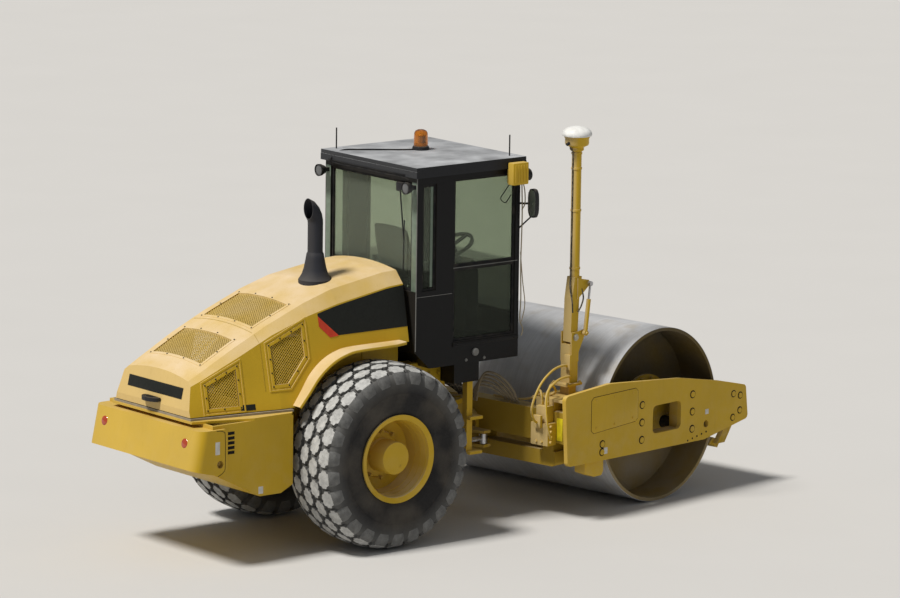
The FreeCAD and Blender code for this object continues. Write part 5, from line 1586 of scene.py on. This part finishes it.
class ROLLER_OT_tyres(bpy.types.Operator):
    """Make the tyres with their tread"""
    bl_idname = "roller.tyres"
    bl_label = "Tyres"

    def execute(self, context):
        tyres()
        return {"FINISHED"}


class ROLLER_OT_wheel_bolts(bpy.types.Operator):
    """Make the hub caps, wheel nuts and rim rings"""
    bl_idname = "roller.wheel_bolts"
    bl_label = "Wheel bolts"

    def execute(self, context):
        wheel_bolts()
        return {"FINISHED"}


class ROLLER_OT_grilles(bpy.types.Operator):
    """Make the hood's grilles with their borders and screws"""
    bl_idname = "roller.grilles"
    bl_label = "Grilles"

    def execute(self, context):
        hood_grilles()
        return {"FINISHED"}


class ROLLER_OT_hood_trim(bpy.types.Operator):
    """Make the hood's panels, tags, folds and rear band"""
    bl_idname = "roller.hood_trim"
    bl_label = "Hood trim"

    def execute(self, context):
        hood_trim()
        return {"FINISHED"}


class ROLLER_OT_arches(bpy.types.Operator):
    """Make the arch lips and the wheel wells' liners"""
    bl_idname = "roller.arches"
    bl_label = "Arches"

    def execute(self, context):
        arch_lips()
        liners()
        return {"FINISHED"}


class ROLLER_OT_grip(bpy.types.Operator):
    """Make the grab handle on the hood"""
    bl_idname = "roller.grip"
    bl_label = "Grip"

    def execute(self, context):
        hood_grip()
        return {"FINISHED"}


class ROLLER_OT_stack(bpy.types.Operator):
    """Make the exhaust stack"""
    bl_idname = "roller.stack"
    bl_label = "Stack"

    def execute(self, context):
        stack()
        return {"FINISHED"}


class ROLLER_OT_bumper(bpy.types.Operator):
    """Make the reflectors, slots and blank labels at the rear"""
    bl_idname = "roller.bumper"
    bl_label = "Bumper"

    def execute(self, context):
        bumper_trim()
        return {"FINISHED"}


class ROLLER_OT_yoke(bpy.types.Operator):
    """Make the bolts, covers and lugs of the yoke's plates"""
    bl_idname = "roller.yoke"
    bl_label = "Yoke"

    def execute(self, context):
        yoke_trim()
        return {"FINISHED"}


class ROLLER_OT_drum_bolts(bpy.types.Operator):
    """Make the bolts of the drum's flanges and bearings"""
    bl_idname = "roller.drum_bolts"
    bl_label = "Drum bolts"

    def execute(self, context):
        drum_bolts()
        return {"FINISHED"}


class ROLLER_OT_valves(bpy.types.Operator):
    """Make the valve block and the hoses that leave it"""
    bl_idname = "roller.valves"
    bl_label = "Valve block"

    def execute(self, context):
        valve_block()
        return {"FINISHED"}


class ROLLER_OT_hoses(bpy.types.Operator):
    """Make the hoses that bend over the joints"""
    bl_idname = "roller.hoses"
    bl_label = "Hoses"

    def execute(self, context):
        joint_hoses()
        yoke_lines()
        return {"FINISHED"}


class ROLLER_OT_cab(bpy.types.Operator):
    """Make the cab's seals, edges, roof plate and wiper"""
    bl_idname = "roller.cab"
    bl_label = "Cab trim"

    def execute(self, context):
        cab_seals()
        cab_edges()
        cab_trim()
        return {"FINISHED"}


class ROLLER_OT_cables(bpy.types.Operator):
    """Make the cab's cables"""
    bl_idname = "roller.cables"
    bl_label = "Cables"

    def execute(self, context):
        cab_cables()
        return {"FINISHED"}


class ROLLER_OT_lamps(bpy.types.Operator):
    """Make the work lamps"""
    bl_idname = "roller.lamps"
    bl_label = "Lamps"

    def execute(self, context):
        lamps()
        return {"FINISHED"}


class ROLLER_OT_mirrors(bpy.types.Operator):
    """Make the mirrors"""
    bl_idname = "roller.mirrors"
    bl_label = "Mirrors"

    def execute(self, context):
        mirrors()
        return {"FINISHED"}


class ROLLER_OT_receiver_case(bpy.types.Operator):
    """Make the ribbed receiver case and its lid"""
    bl_idname = "roller.receiver_case"
    bl_label = "Receiver case"

    def execute(self, context):
        receiver_case()
        return {"FINISHED"}


class ROLLER_OT_beacon(bpy.types.Operator):
    """Make the beacon"""
    bl_idname = "roller.beacon"
    bl_label = "Beacon"

    def execute(self, context):
        beacon()
        return {"FINISHED"}


class ROLLER_OT_seat(bpy.types.Operator):
    """Make the padded seat and its armrests"""
    bl_idname = "roller.seat"
    bl_label = "Seat"

    def execute(self, context):
        seat()
        return {"FINISHED"}


class ROLLER_OT_mast(bpy.types.Operator):
    """Make the bands, cable and receiver of the mast"""
    bl_idname = "roller.mast"
    bl_label = "Mast"

    def execute(self, context):
        mast_trim()
        mast_receiver()
        return {"FINISHED"}


OPERATORS = (
    ROLLER_OT_stage, ROLLER_OT_finishes, ROLLER_OT_tyres, ROLLER_OT_wheel_bolts, ROLLER_OT_grilles,
    ROLLER_OT_hood_trim, ROLLER_OT_arches, ROLLER_OT_grip, ROLLER_OT_stack, ROLLER_OT_bumper,
    ROLLER_OT_yoke, ROLLER_OT_drum_bolts, ROLLER_OT_valves, ROLLER_OT_hoses, ROLLER_OT_cab,
    ROLLER_OT_cables, ROLLER_OT_lamps, ROLLER_OT_mirrors, ROLLER_OT_receiver_case, ROLLER_OT_beacon,
    ROLLER_OT_seat, ROLLER_OT_mast,
)


class ROLLER_PT_looks(bpy.types.Panel):
    """The settings and the making steps, in order"""
    bl_idname = "ROLLER_PT_looks"
    bl_label = "Road roller"
    bl_space_type = "VIEW_3D"
    bl_region_type = "UI"
    bl_category = "Roller"

    def draw(self, context):
        """List the settings, then the operators."""
        for group in (context.scene.roller_sizes, context.scene.roller_colours):
            for name in group.__annotations__:
                self.layout.prop(group, name)
        for made in OPERATORS:
            self.layout.operator(made.bl_idname)


CLASSES = (RollerColours, RollerSizes, *OPERATORS, ROLLER_PT_looks)


def register():
    """Add the classes and the settings to Blender."""
    for made in CLASSES:
        bpy.utils.register_class(made)
    bpy.types.Scene.roller_colours = PointerProperty(type=RollerColours)
    bpy.types.Scene.roller_sizes = PointerProperty(type=RollerSizes)


def unregister():
    """Take them out again."""
    del bpy.types.Scene.roller_sizes
    del bpy.types.Scene.roller_colours
    for made in reversed(CLASSES):
        bpy.utils.unregister_class(made)


def main():
    register()
    for made in OPERATORS:
        group, name = made.bl_idname.split(".")
        getattr(getattr(bpy.ops, group), name)()


if __name__ == "__main__":
    main()
